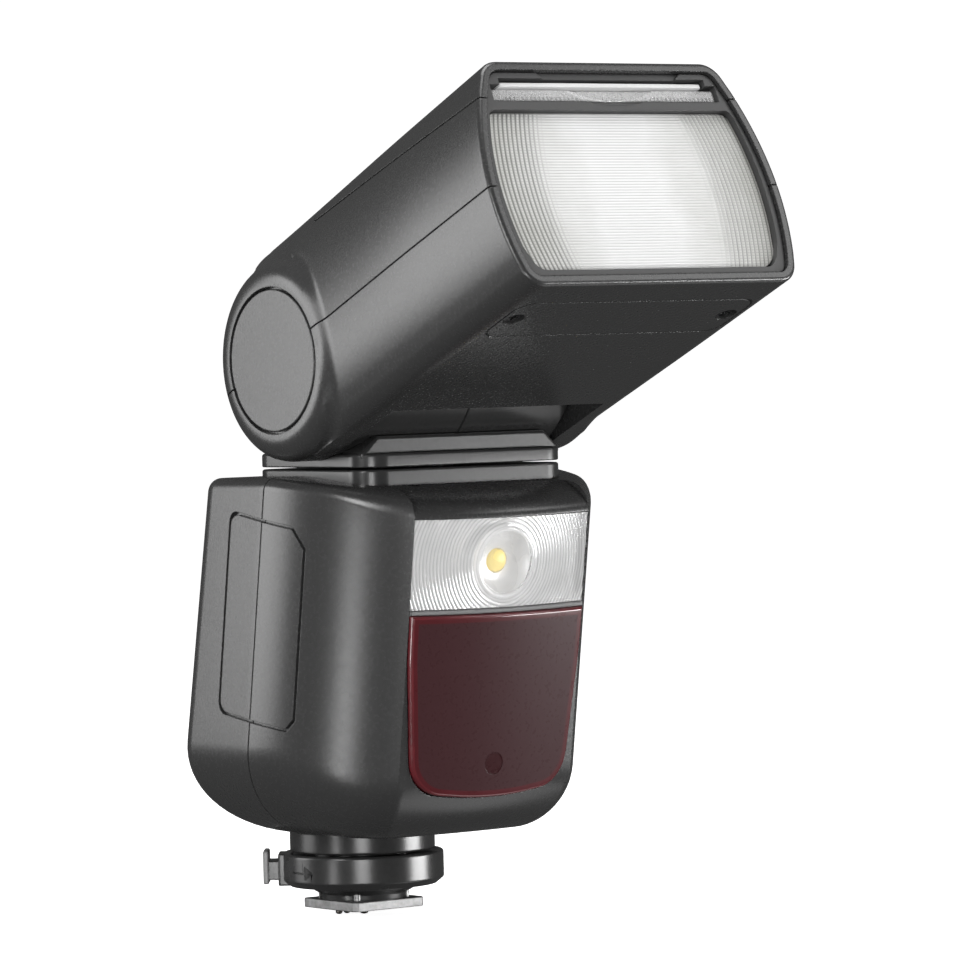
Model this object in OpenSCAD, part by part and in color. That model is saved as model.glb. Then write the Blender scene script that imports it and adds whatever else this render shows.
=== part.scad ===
// Shoe-mounted speedlight flash: a case that leans forward over its shoe foot,
// a yoke that swivels on top of it, and a tilting head with a motor zoom inside.
// Millimetres. +Z is up, square to the foot, and the window side faces -Y.
// The origin is the centre of the foot plate's underside.
//
// Three frames are used. in_case() leans with the case, in_back() lies on the
// rear face, and in_head() follows the head: there a point is [x, -u, w], where
// u runs forward along the head and w is square to it, both from the tilt axis.

/* [Case] */
// Forward lean of the case over the foot, in degrees
lean = 8.5; // [7.5:0.5:9]
// Half the width of the case
case_half_w = 37.5; // [37.5:0.1:38]
// Rear face, behind the swivel side of the foot, in the leaning frame
case_back = 18.4; // [18.2:0.1:19]
// Front of the case at the window's edges, in the leaning frame
case_front = -38.9; // [-39.4:0.1:-38.7]
// Radius of the curved front half of each side
side_r = 47; // [46:0.5:48]
// Parting line between the front and rear shells
seam_y = -6.2; // [-6.6:0.1:-6]
// Underside of the case above the foot's underside
case_bottom = 17.3; // [17.2:0.1:17.6]
// Wall of the moulded shells
wall = 2; // [1.8:0.1:2.2]

/* [Front panel] */
// Half the width of the lamp window
window_half_w = 22.5; // [22:0.1:22.6]
// Bottom edge of the lamp window
window_low = 72; // [71.6:0.1:72.4]
// Top edge of the lamp window
window_high = 90.8; // [90.4:0.1:91]
// How far the middle of the front panel bulges past its edges
bulge = 2; // [1.6:0.1:2.2]
// Lowest point of the red sensor panel
panel_low = 31.3; // [31:0.1:31.8]

/* [Foot] */
// Width of the standard accessory shoe foot
foot_w = 18.6; // [18.5:0.05:18.6]
// Length of the foot plate
foot_l = 19; // [18:0.5:20]
// Thickness of the foot plate
foot_t = 2; // [1.9:0.05:2]
// Radius of the lock ring
ring_r = 17.3; // [17:0.1:17.6]
// Radius of the neck above it
neck_r = 15.5; // [15.2:0.1:15.8]

/* [Swivel and tilt] */
// Swivel axis, in front of the foot's centre
swivel_y = -20.5; // [-21:0.1:-20]
// Height of the plinth's top, where the yoke turns
plinth_top = 94.3; // [94.1:0.1:94.4]
// Width of the plinth and the yoke base
plinth_w = 53.4; // [53:0.1:53.6]
// Depth of the plinth and the yoke base
plinth_d = 40.6; // [40:0.1:41]
// Tilt axis, in front of the foot's centre
tilt_y = -23.6; // [-24:0.1:-23.4]
// Height of the tilt axis
tilt_z = 117.2; // [117:0.1:117.6]
// Head angle above horizontal as the part stands, in degrees
head_tilt = 23.8; // [20:0.1:27]
// Radius of the drum and the cheeks about the tilt axis
cheek_r = 21; // [20.8:0.1:21.1]

/* [Head] */
// Front rim, ahead of the tilt axis
head_u = 81.8; // [81.6:0.1:82.4]
// Half the head's width at its widest
head_half_w = 37.2; // [37:0.1:37.4]
// Top of the head over the tilt axis, at the front rim
head_high = 27.9; // [27.6:0.1:28.2]
// Underside of the head below the tilt axis
head_low = -21.2; // [-21.4:0.1:-21.1]
// Radius of the bowed sides
head_side_r = 59; // [57:1:62]
// Travel of the zoom reflector
zoom_travel = 23; // [20:0.5:23]

/* [Hidden] */
$fn = 48;

// gaps
slip = 0.1;            // between fixed pieces that are assembled
run = 0.06;            // radial running clearance of shafts
part_gap = 0.04;       // between the two halves of a moulding

// case
side_start = case_front + side_r * sin(acos(1 - (case_half_w - window_half_w) / side_r));
back_corner_r = 5.5;
back_tilt = 2.3;       // rear face against the leaning frame, in degrees
back_mid = 63;         // height of the rear frame's origin
bottom_front_r = 12;
bottom_back_r = 20;
bottom_side_r = 20;
front_r = (window_half_w * window_half_w + bulge * bulge) / (2 * bulge);
front_centre = case_front - bulge + front_r;
bow_angle = asin(0.97 * window_half_w / front_r);
window_t = 2.2;
panel_proud = 0.8;
divider_h = 1;
divider_proud = 0.2;
lamp_z = 81.3;         // height of the lamp's axis
lamp_back = -31.2;     // floor of the lamp's cup
cup_deep = 5.2;
cup_floor_r = 2.7;
cup_open_r = 7.3;
brow_y = -25.5;        // where the brow over the lamp window starts to roll down
brow_rise = 5.6;
brow_proud = 0.3;      // the brow's foot stands ahead of the window
neck_bore_r = 13;
af_x = 2;
af_z = 38.9;
af_window_r = 2.3;

// side outline shared by the battery pack's outer face and the blind side's groove
bay_back = 5.3;
bay_front = -19;
bay_low = 43.4;
bay_high = 86.5;
groove_w = 0.5;        // width and depth of the blind panel's groove
tray_t = 1.2;
tray_x = -24.5;
tray_gap = 0.3;
tray_mouth = 31.3;
pack_gap = 0.25;       // all round the pack in its tray
pack_skin_x = 31.5;    // where the pack widens to its outer face
skin_gap = 0.22;       // seam round the pack's outer face
pocket_x = 33.6;       // floor of the latch pocket
latch_w = 14;
latch_h = 4.4;
latch_y = -6.8;
latch_z = 77;
port_low = 52;
port_high = 74;
port_front = 6.7;
port_back = 12.3;
port_t = 1.2;
socket_y = 9.5;
usb_z = 68.5;
jack_z = 57;
jack_back = 26;
jack_r = 2.5;
plug_r = 1.27;
board_edge = 25;       // the main board stops short of the two sockets

// foot
block_r = 11.6;
ring_low = 4.9;
ring_high = 12;
hub_r = 12;
lever_angle = 142;
lever_r = 21.2;
pin_r = 0.9;
sync_r = 1.2;
pin_drop = 0.9;
pin_top = 2.8;
foot_screw_r = 9;      // from the foot's centre
data_x = [-4, -1.9, 1.9, 4];
data_y = 3.6;
lock_y = 6.6;

// yoke
base_low = plinth_top + 0.6;
base_high = base_low + 2.7;
pedestal_high = base_high + 3.6;
pedestal_half_w = 21.5;
drum_half_w = 26.6;
drum_gap = 0.1;
drum_wall = 2.2;
sleeve_r = 9;
sleeve_bore_r = 6.4;
axle_r = 5;

// head
cheek_in = 27.4;
slot_r = cheek_r + 0.4;
cap_r = 15;
cap_t = 1.6;
head_seam = 0.3;
widest_w = -2;
cover_back = 18.7;
cover_back_w = 22.7;
cover_front_w = 19.4;
head_back = -3;
top_fall = 1.5;        // slope of the head's top, in degrees
lens_half_w = 33.6;
lens_high = 17.3;
lens_low = -17.5;
lens_u = 79.8;
lens_t = 2.2;
frame_back = 74;
rod_x = -30.5;
rod_w = 8;
rod_r = 1.25;
screw_x = 30;
screw_w = 6;
screw_r = 1.2;
reflector_half_w = 24;
reflector_half_h = 14.5;
reflector_back = 30;
reflector_front = 50;
panel_back = 24;
head_screw_x = 27.3;
head_screw_u = 65.7;
nut_r = 12.4;

// ---------- outlines ----------

function unit(v) = v / norm(v);
function arc(c, r, a0, a1, n) =
  [for (i = [0:n]) c + r * [cos(a0 + (a1 - a0) * i / n), sin(a0 + (a1 - a0) * i / n)]];
function turn(a, b) = let (d = b - a) d > 180 ? d - 360 : d < -180 ? d + 360 : d;

// arc of radius r that rounds corner b between a and c
function corner(a, b, c, r, n) =
  let (p = unit(a - b), q = unit(c - b), half = acos(p * q) / 2)
  let (m = b + unit(p + q) * r / sin(half), s = b + p * r / tan(half) - m)
  let (e = b + q * r / tan(half) - m, a0 = atan2(s[1], s[0]))
  arc(m, r, a0, a0 + turn(a0, atan2(e[1], e[0])), n);

// polygon with each corner rounded by its own radius, 0 for a sharp one
function rounded(pts, radii, n = 6) =
  let (k = len(pts))
  [for (i = [0:k - 1]) each radii[i] > 0.05
    ? corner(pts[(i + k - 1) % k], pts[i], pts[(i + 1) % k], radii[i], n) : [pts[i]]];

// polygon with every edge moved in by d, points counter-clockwise
function inset(pts, d) =
  let (k = len(pts))
  [for (i = [0:k - 1])
    let (p = unit(pts[i] - pts[(i + k - 1) % k]), q = unit(pts[(i + 1) % k] - pts[i]))
    let (m = [-p[1], p[0]], o = [-q[1], q[0]])
    pts[i] + d * (m + o) / (1 + m * o)];

// the case from above, in the leaning frame, every wall moved in by d
function plan_outline(d) =
  let (r = side_r - d, c = case_half_w - side_r)
  let (end = asin((side_start - case_front - d) / r), br = back_corner_r)
  concat(
    arc([case_half_w - br, case_back + 1 - br], br - d, 0, 90, 6),
    arc([br - case_half_w, case_back + 1 - br], br - d, 90, 180, 6),
    arc([-c, side_start], r, 180, 180 + end, 8),
    arc([0, front_centre], front_r - d, 270 - bow_angle, 270 + bow_angle, 8),
    arc([c, side_start], r, 360 - end, 360, 8));

// a point of the leaning frame's side view in the upright one
function upright(p) = [p[0] * cos(lean) - p[1] * sin(lean), p[0] * sin(lean) + p[1] * cos(lean)];
// where a line of the leaning frame, y = const, meets the case's underside
function foot_of(y) = upright([y, (case_bottom - y * sin(lean)) / cos(lean)]);

// the case from the side, upright, every wall moved in by d
function side_outline(d, front_round) =
  let (back_high = [case_back - (91.2 - back_mid) * tan(back_tilt), 91.2])
  let (back_low = case_back + (back_mid - 14.5) * tan(back_tilt))
  let (front = case_front - bulge)
  let (pts = [foot_of(front), foot_of(back_low), upright(back_high),
              upright([seam_y, 95.2]), upright([front, 96.5])])
  rounded(inset(pts, d), [bottom_front_r - d, bottom_back_r - d, 3 - d / 2, 0, front_round], 8);

// the case from the front, upright
function front_outline(d) =
  let (w = case_half_w - d, z = case_bottom + d, r = bottom_side_r - d)
  rounded([[-w, z], [w, z], [w, 120], [-w, 120]], [r, r, 0, 0], 8);

// front panel, x and height in the leaning frame, grown by g
function panel_outline(g) =
  let (w = window_half_w)
  rounded([[0, panel_low - g], [w - 3.3 + g, panel_low + 2.4 - g], [w - 0.3 + g, 62],
           [w + g, window_high + g], [-w - g, window_high + g], [0.3 - w - g, 62],
           [3.3 - w - g, panel_low + 2.4 - g]], [30, 6.5, 0, 0, 0, 0, 6.5], 6);

// battery bay outline, y and height in the leaning frame, drawn in by d
function bay_outline(d) =
  rounded(inset([[bay_front, bay_low + 2.6], [bay_front + 2, bay_low], [bay_back, bay_low + 0.1],
                 [bay_back, bay_high], [bay_front + 3.6, bay_high - 0.3], [bay_front, bay_high - 4.4]], d),
          [0.8, 0.8, 2.5, 2.5, 0.8, 0.8], 3);

// cross-section of the head, x and w, every wall moved in by d
function bowed(w) = head_half_w - pow(w - widest_w, 2) / (2 * head_side_r);
function head_outline(d) =
  let (side = [for (w = [-13, -5, 3, 11, 19]) [bowed(w), w]])
  let (right = concat([[bowed(head_low), head_low]], side, [[bowed(head_high), head_high]]))
  let (left = [for (i = [len(right) - 1:-1:0]) [-right[i][0], right[i][1]]])
  let (radii = [5 - d, 0, 0, 0, 0, 0, 5.5 - d])
  rounded(inset(concat(right, left), d), concat(radii, [for (i = [6:-1:0]) radii[i]]), 6);

// outline of the lens, drawn in by d
function lens_bow(w) = lens_half_w - pow(w + 1, 2) / (2 * head_side_r);
function lens_outline(d) =
  let (side = [for (w = [-9, 0, 9]) [lens_bow(w), w]])
  let (right = concat([[lens_bow(lens_low) - 1, lens_low]], side, [[lens_bow(lens_high), lens_high]]))
  let (left = [for (i = [len(right) - 1:-1:0]) [-right[i][0], right[i][1]]])
  rounded(inset(concat(right, left), d), [3.5, 0, 0, 0, 2, 2, 0, 0, 0, 3.5], 5);

// ---------- frames and prisms ----------

module in_case() { rotate([lean, 0, 0]) children(); }
module in_back() { in_case() translate([0, case_back, back_mid]) rotate([back_tilt, 0, 0]) children(); }
module in_head() { translate([0, tilt_y, tilt_z]) rotate([-head_tilt, 0, 0]) children(); }

// outline in y and z, drawn out along x
module side_prism(x0, x1) { translate([x0, 0, 0]) rotate([90, 0, 90]) linear_extrude(x1 - x0) children(); }
// outline in x and z, drawn out along y
module front_prism(y0, y1) { translate([0, y1, 0]) rotate([90, 0, 0]) linear_extrude(y1 - y0) children(); }
// box from one corner to the opposite one
module block(a, b) { translate(a) cube(b - a); }
// round bar along x, along y and along z
module bar_x(x0, x1, r) { translate([x0, 0, 0]) rotate([0, 90, 0]) cylinder(h = x1 - x0, r = r); }
module bar_y(y0, y1, r) { translate([0, y0, 0]) rotate([-90, 0, 0]) cylinder(h = y1 - y0, r = r); }
module bar_z(z0, z1, r) { translate([0, 0, z0]) cylinder(h = z1 - z0, r = r); }

// ---------- case ----------

module case_solid(d, front_round) {
  intersection() {
    in_case() linear_extrude(120) polygon(plan_outline(d));
    side_prism(-60, 60) polygon(side_outline(d, front_round));
    front_prism(-80, 60) polygon(front_outline(d));
  }
}

module plinth_outline(g) {
  w = plinth_w / 2 + g;
  d = plinth_d / 2 + g;
  translate([0, swivel_y]) polygon(rounded([[-w, -d], [w, -d], [w, d], [-w, d]], [6, 6, 6, 6], 8));
}

// everything that is cut out of the two shells
module case_cuts() {
  case_solid(wall, 14);
  in_case() front_prism(-50, -30) polygon(panel_outline(slip));
  // the brow over the lamp window rolls down from the plinth between the cheeks
  in_case() side_prism(-window_half_w, window_half_w) polygon(concat(
    brow_arc(), [[-55, window_high], [-55, 120], [brow_y, 120]]));
  translate([0, 0, 85]) linear_extrude(30) plinth_outline(slip);
  bar_z(case_bottom - 1, case_bottom + 6, neck_bore_r + slip);
  // battery bay mouth
  in_case() side_prism(30, 50) polygon(bay_outline(0));
  // shallow groove round the blind panel on the other side
  difference() {
    in_case() side_prism(-50, -30) difference() {
      polygon(bay_outline(0));
      polygon(bay_outline(groove_w));
    }
    case_solid(groove_w, 5);
  }
  // port recess and its two sockets
  in_case() block([case_half_w - port_t - slip, port_front - slip, port_low - slip],
                  [50, port_back + slip / 2, port_high + slip]);
  in_case() translate([0, socket_y, usb_z]) block([30, -1.7, -4.6], [50, 1.7, 4.6]);
  in_case() translate([0, socket_y, jack_z]) bar_x(30, 50, jack_r + slip);
  // rear opening for the control panel
  in_back() front_prism(-5, 5) polygon(control_outline(slip));
}

// quarter ellipse from the plinth down to the window's top edge
function brow_arc() =
  let (reach = brow_y - case_front + bulge + brow_proud)
  [for (a = [0:9:90]) [brow_y - reach * sin(a), window_high + brow_rise * cos(a)]];

module shell_core(y0, y1) {
  difference() {
    intersection() {
      case_solid(0, 5);
      in_case() block([-60, y0, 0], [60, y1, 130]);
    }
    case_cuts();
  }
}

module front_shell() { color("#2b2b2d") shell_core(-60, seam_y - part_gap); }
module rear_shell() { color("#2e2e30") shell_core(seam_y + part_gap, 40); }

module top_plinth() {
  color("#333335") difference() {
    translate([0, 0, 90.2]) linear_extrude(plinth_top - 90.2) plinth_outline(0);
    translate([0, swivel_y, 0]) bar_z(80, 100, sleeve_r + run);
  }
}

// a slice of the bowed front panel between two heights
module panel_slice(z0, z1, proud, g) {
  in_case() difference() {
    intersection() {
      front_prism(-50, -30) polygon(panel_outline(g));
      block([-40, -50, z0], [40, -30, z1]);
      translate([0, front_centre, z0]) cylinder(h = z1 - z0, r = front_r + proud, $fn = 180);
    }
    translate([0, front_centre, z0 - 1]) cylinder(h = z1 - z0 + 2, r = front_r - window_t, $fn = 180);
  }
}

module led_window() { color("#e8eef2") panel_slice(window_low, window_high, 0, 0); }
module window_divider() {
  color("#8a8c8e") panel_slice(window_low - divider_h - part_gap, window_low - part_gap, divider_proud, 0);
}
module sensor_panel() {
  color("#6e1420") difference() {
    panel_slice(panel_low - 1, window_low - divider_h - 2 * part_gap, panel_proud, 0);
    in_case() translate([af_x, 0, af_z]) bar_y(-45, -41, af_window_r);
  }
}

function cup_outline() = concat(
  [[0, -1], [cup_floor_r, -1]],
  [for (t = [0:0.125:1]) [cup_floor_r + (cup_open_r - cup_floor_r) * sqrt(t), cup_deep * t]],
  [[0, cup_deep]]);
module led_reflector() {
  color("#d9dcde") in_case() difference() {
    union() {
      block([-21.8, -36.3, window_low + 0.3], [21.8, -35.5, window_high - 0.5]);
      translate([0, 0, lamp_z]) bar_y(-36.3, -31, 8.2);
    }
    // parabolic cup about the lamp's axis
    translate([0, lamp_back, lamp_z]) rotate([90, 0, 0]) rotate_extrude() polygon(cup_outline());
  }
}

module led_board() {
  in_case() translate([0, 0, lamp_z]) {
    color("#f2c230") bar_y(-31.6, -30.9, 2.3);
    color("#e5e5e0") block([-8.5, -30.9, -8.5], [8.5, -29.4, 8.5]);
  }
}

module af_lamp() {
  color("#401016") in_case() translate([af_x, 0, af_z]) {
    bar_y(-36.4, -31, 3);
    bar_y(-31, -29, 4);
  }
}

module main_board() {
  color("#1f5a38") in_case() difference() {
    block([-31, 8.4, 40], [board_edge, 10, 84]);
    for (x = [-28, board_edge - 3], z = [43, 81]) translate([x, 0, z]) bar_y(8, 11, 1.3);
  }
}

module flash_capacitor() {
  color("#202a44") in_case() translate([0, -8, 32.6]) {
    bar_x(-25, 25, 9.4);
    for (y = [-3, 3]) translate([0, y, 0]) bar_x(25, 27, 0.5);
  }
}

// ---------- battery ----------

module battery_tray() {
  g = tray_gap;
  color("#3a3a3c") in_case() difference() {
    block([tray_x, bay_front + g, bay_low + g], [tray_mouth, bay_back - g, bay_high - 0.3 - g]);
    block([tray_x + tray_t, bay_front + g + tray_t, bay_low + g + tray_t],
          [40, bay_back - g - tray_t, bay_high - 0.3 - g - tray_t]);
  }
}

module battery_contacts() {
  color("#c9a227") in_case() for (y = [-12.5, -7, -1.5])
    translate([tray_x + tray_t, y, 60]) block([0, -1.2, -5], [1, 1.2, 5]);
}

module battery_pack() {
  inside = tray_gap + tray_t + pack_gap;
  color("#303032") difference() {
    union() {
      in_case() intersection() {
        block([tray_x + tray_t + 1.3, bay_front + inside, bay_low + inside],
              [pack_skin_x + 0.8, bay_back - inside, bay_high - 0.3 - inside]);
        side_prism(-30, 40) polygon(bay_outline(2 * pack_gap));
      }
      intersection() {
        case_solid(0, 5);
        in_case() side_prism(pack_skin_x, 40) polygon(bay_outline(skin_gap));
      }
    }
    // pocket of the sliding latch, open to the outside
    in_case() translate([0, latch_y, latch_z])
      block([pocket_x, -latch_w / 2 - 0.3, -latch_h / 2 - 2.6], [40, latch_w / 2 + 0.3, latch_h / 2 + 0.3]);
  }
}

module battery_latch() {
  color("#4a4a4c") in_case() translate([0, latch_y, latch_z]) {
    block([pocket_x + 0.3, -latch_w / 2, -latch_h / 2], [36.2, latch_w / 2, latch_h / 2]);
    for (z = [-1.2, 0, 1.2]) translate([0, 0, z]) block([36.2, -5, -0.3], [36.9, 5, 0.3]);
  }
}

// ---------- ports ----------

module port_cover() {
  color("#1d1d1e") in_case() {
    block([case_half_w - port_t, port_front, port_low], [case_half_w, port_back, port_high]);
  }
}

module usb_port() {
  color("#b4b6b8") in_case() translate([0, socket_y, usb_z]) difference() {
    block([28.5, -1.6, -4.5], [case_half_w - port_t - 0.3, 1.6, 4.5]);
    block([30.5, -1.2, -4.1], [40, 1.2, 4.1]);
    translate([0, 0, -3.5]) block([30, -0.3, 0], [30.4, 0.3, 7]);
  }
}

module sync_jack() {
  color("#9a9c9e") in_case() translate([0, socket_y, jack_z]) difference() {
    bar_x(jack_back, case_half_w - port_t - 0.3, jack_r);
    bar_x(jack_back + 2, 40, plug_r);
  }
}

// ---------- rear controls ----------

function control_outline(g) =
  let (w = 29 + g)
  rounded([[-w, -26 - g], [w, -26 - g], [w, 26.4 + g], [-w, 26.4 + g]], [4, 4, 2.5, 2.5], 5);

lcd_half_w = 26;
lcd_low = 4.6;
lcd_high = 25;
fkey_z = 0.3;
fkey_pitch = 13;
fkey_w = 10;
fkey_h = 4;
dial_x = 8.5;
dial_z = -14.6;
dial_r = 9.4;
set_r = 4.9;
mode_x = -15;
mode_z = -10.4;
mode_w = 12;
mode_h = 5;
test_z = -19;
test_r = 3.3;
power_x = 24.2;
power_half_w = 2.2;
power_half_h = 3.2;
power_travel = 4;
key_high = 1.1;
key_low = -2.5;

module key_hole(x, z, w, h) { translate([x, 0, z]) block([-w / 2, -6, -h / 2], [w / 2, 3, h / 2]); }

module control_panel() {
  c = 0.2;
  color("#232325") in_back() difference() {
    front_prism(-2, 0.2) polygon(control_outline(0));
    // seat and sight hole of the display window
    block([-lcd_half_w - slip, -0.9, lcd_low - slip], [lcd_half_w + slip, 3, lcd_high + slip]);
    block([-lcd_half_w + 2, -6, lcd_low + 1.5], [lcd_half_w - 2, 3, lcd_high - 1.5]);
    for (i = [0:3]) key_hole((i - 1.5) * fkey_pitch, fkey_z, fkey_w + 2 * c, fkey_h + 2 * c);
    key_hole(mode_x, mode_z, mode_w + 2 * c, mode_h + 2 * c);
    translate([mode_x, 0, test_z]) bar_y(-6, 3, test_r + c);
    translate([dial_x, 0, dial_z]) bar_y(-6, 3, dial_r + c);
    key_hole(power_x, dial_z, 2 * power_half_w + 2 * c, 2 * (power_half_h + power_travel / 2 + c));
  }
}

module lcd_window() {
  color("#101418") in_back() block([-lcd_half_w, -0.8, lcd_low], [lcd_half_w, 0.2, lcd_high]);
}
module lcd_module() {
  color("#5c6b62") in_back() block([-lcd_half_w + 1.5, -5.4, lcd_low + 0.6],
                                   [lcd_half_w - 1.5, -2.1, lcd_high - 0.6]);
}

module function_button(i) {
  color("#3c3c3e") in_back() translate([(i - 2.5) * fkey_pitch, 0, fkey_z])
    front_prism(key_low, key_high)
      polygon(rounded([[-fkey_w / 2, -fkey_h / 2], [fkey_w / 2, -fkey_h / 2],
                       [fkey_w / 2, fkey_h / 2], [-fkey_w / 2, fkey_h / 2]], [1, 1, 1, 1], 3));
}
module mode_button() {
  color("#3c3c3e") in_back() translate([mode_x, 0, mode_z])
    front_prism(key_low, key_high)
      polygon(rounded([[-mode_w / 2, -mode_h / 2], [mode_w / 2, -mode_h / 2],
                       [mode_w / 2, mode_h / 2], [-mode_w / 2, mode_h / 2]], [2, 2, 2, 2], 3));
}
module test_button() {
  color("#c0392b") in_back() translate([mode_x, 0, test_z]) bar_y(key_low, key_high, test_r);
}
module select_dial() {
  color("#38383a") in_back() translate([dial_x, 0, dial_z]) difference() {
    bar_y(-2.2, 1.7, dial_r);
    bar_y(-3, 3, set_r + 0.25);
    // finger ribs round the rim
    for (a = [0:15:345]) rotate([0, a, 0]) translate([dial_r + 0.2, 0, 0]) bar_y(0.6, 3, 0.6);
  }
}
module set_button() {
  color("#444446") in_back() translate([dial_x, 0, dial_z]) bar_y(key_low, 1.2, set_r);
}
module power_switch() {
  color("#48484a") in_back() translate([power_x, 0, dial_z - power_travel / 2]) {
    block([-power_half_w, -2.8, -power_half_h], [power_half_w, 1.3, power_half_h]);
    for (z = [-1.6, 0, 1.6]) translate([0, 0, z]) block([-1.7, 1.3, -0.35], [1.7, 1.7, 0.35]);
  }
}

// ---------- foot ----------

module foot_neck() {
  color("#29292b") difference() {
    union() {
      bar_z(ring_high + 0.3, case_bottom, neck_r);
      bar_z(ring_low + 0.5, ring_high + 0.3, hub_r - run);
      bar_z(case_bottom, case_bottom + 3, neck_bore_r);
    }
    // cable way
    bar_z(9, 25, 6);
    foot_screw_at() bar_z(0, 10, 0.8);
    translate([0, lock_y, 0]) bar_z(0, 10, sync_r + run);
  }
}

module foot_screw_at() {
  for (a = [45:90:315]) rotate([0, 0, a]) translate([foot_screw_r, 0, 0]) children();
}
module foot_screw_clearance() {
  bar_z(-1, 10, 0.85);
  translate([0, 0, -0.01]) cylinder(h = 0.95, r1 = 1.75, r2 = 0.85);
}

module foot_block() {
  color("#1c1c1d") difference() {
    union() {
      bar_z(foot_t, 3.2, 9.4);
      translate([0, 0, 3.2]) cylinder(h = 1.4, r1 = 9.9, r2 = block_r);
      bar_z(4.6, ring_low + 0.5, hub_r - run);
      block([-5.4, -6.6, 0.15], [5.4, 8.6, foot_t]);
    }
    foot_screw_at() foot_screw_clearance();
    bar_z(-1, pin_top + 1.3, sync_r + run);
    for (x = data_x) translate([x, data_y, 0]) bar_z(-1, pin_top + 1.3, pin_r + run);
    translate([0, lock_y, 0]) bar_z(-1, 10, sync_r + run);
  }
}

module foot_plate() {
  w = foot_w / 2;
  l = foot_l / 2;
  color("#c8cacc") difference() {
    linear_extrude(foot_t) polygon(rounded([[-w + 0.9, -l], [w - 0.9, -l], [w, 0.9 - l], [w, l],
                                            [-w, l], [-w, 0.9 - l]], [0, 0, 0, 1, 1, 0], 4));
    block([-5.5, -6.7, -1], [5.5, 8.7, 5]);
    foot_screw_at() foot_screw_clearance();
  }
}

module foot_screws() {
  color("#b8b8b4") foot_screw_at() {
    translate([0, 0, 0.05]) cylinder(h = 0.9, r1 = 1.65, r2 = 0.8);
    bar_z(0.9, 9.5, 0.78);
  }
}

// sprung contact with a domed tip below the foot
module contact(r, drop) {
  bar_z(-drop + r * 0.5, pin_top, r);
  translate([0, 0, -drop + r * 0.5]) intersection() {
    sphere(r);
    translate([0, 0, -r / 2]) cube([3 * r, 3 * r, r], center = true);
  }
}
module sync_pin() { color("#2a2a2a") contact(sync_r, pin_drop + 0.2); }
module data_pins() {
  color("#2a2a2a") for (x = data_x) translate([x, data_y, 0]) contact(pin_r, pin_drop);
}
module lock_pin() {
  color("#bfc1c3") translate([0, lock_y, 0]) bar_z(0.4, 8, sync_r);
}

module lock_ring() {
  mid = (ring_low + ring_high) / 2;
  color("#1e1e20") difference() {
    translate([0, 0, mid]) rotate_extrude() polygon([
      [hub_r, ring_low - mid], [ring_r - 1.6, ring_low - mid], [ring_r, ring_low - mid + 1.3],
      [ring_r, ring_high - mid - 0.6], [ring_r - 0.6, ring_high - mid], [hub_r, ring_high - mid]]);
    rotate([0, 0, lever_angle]) block([ring_r - 2.6, -4.1, 0], [30, 4.1, 30]);
  }
}
module lock_lever() {
  color("#8e9092") rotate([0, 0, lever_angle]) {
    block([ring_r - 2.6, -4.1, ring_low + 0.2], [ring_r + 0.6, 4.1, ring_high - 0.1]);
    block([ring_r + 0.6, -4.1, ring_low + 1.4], [lever_r - 1.2, 4.1, ring_high - 2]);
    block([lever_r - 1.2, -4.1, ring_low + 0.6], [lever_r, 4.1, ring_high + 0.6]);
  }
}

// ---------- yoke ----------

module drum_space(r, half_w) { translate([0, tilt_y, tilt_z]) bar_x(-half_w, half_w, r); }

module yoke_base() {
  color("#303032") difference() {
    union() {
      translate([0, 0, base_low]) linear_extrude(base_high - base_low) plinth_outline(0);
      front_prism(tilt_y - 15, tilt_y + 15) polygon([
        [-plinth_w / 2 + 0.4, base_high], [plinth_w / 2 - 0.4, base_high],
        [pedestal_half_w, pedestal_high], [-pedestal_half_w, pedestal_high]]);
    }
    drum_space(cheek_r - 0.2 + slip / 2, 40);
    translate([0, swivel_y, 0]) bar_z(80, 97, sleeve_r + slip / 2);
  }
}

module drum(side) {
  r = cheek_r - 0.2;
  color("#353537") difference() {
    translate([0, tilt_y, tilt_z]) difference() {
      mirror([side < 0 ? 1 : 0, 0, 0]) {
        difference() {
          bar_x(drum_gap / 2, drum_half_w, r);
          bar_x(-1, drum_half_w - drum_wall, r - drum_wall);
        }
      }
      bar_x(-40, 40, axle_r + slip / 2);
    }
    translate([0, swivel_y, 0]) bar_z(80, 102, sleeve_bore_r);
  }
}
module left_drum() { drum(-1); }
module right_drum() { drum(1); }

module swivel_sleeve() {
  color("#a8aaac") translate([0, swivel_y, 0]) difference() {
    bar_z(87.9, plinth_top + 2, sleeve_r);
    bar_z(80, 100, sleeve_bore_r);
  }
}
module swivel_nut() {
  color("#8c8e90") translate([0, swivel_y, 0]) difference() {
    bar_z(88, 90, nut_r);
    bar_z(80, 100, sleeve_r + slip / 2);
  }
}
module tilt_axle() {
  color("#a8aaac") translate([0, tilt_y, tilt_z]) difference() {
    bar_x(-34, 34, axle_r);
    bar_x(-40, 40, 3.2);
  }
}

// ---------- head ----------

// outline in x and w, drawn out along u
module head_prism(u0, u1) { translate([0, -u0, 0]) rotate([90, 0, 0]) linear_extrude(u1 - u0) children(); }
// outline in -u and w, drawn out across the whole head
module head_side() { side_prism(-60, 60) children(); }

// everything over the head's top, which falls away to the rear, lowered by d
module above_head(d) {
  high = head_high - d;
  head_side() polygon([[-90, high], [-90, 60], [30, 60], [30, high - (head_u + 30) * tan(top_fall)],
                       [-head_u, high]]);
}

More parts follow.
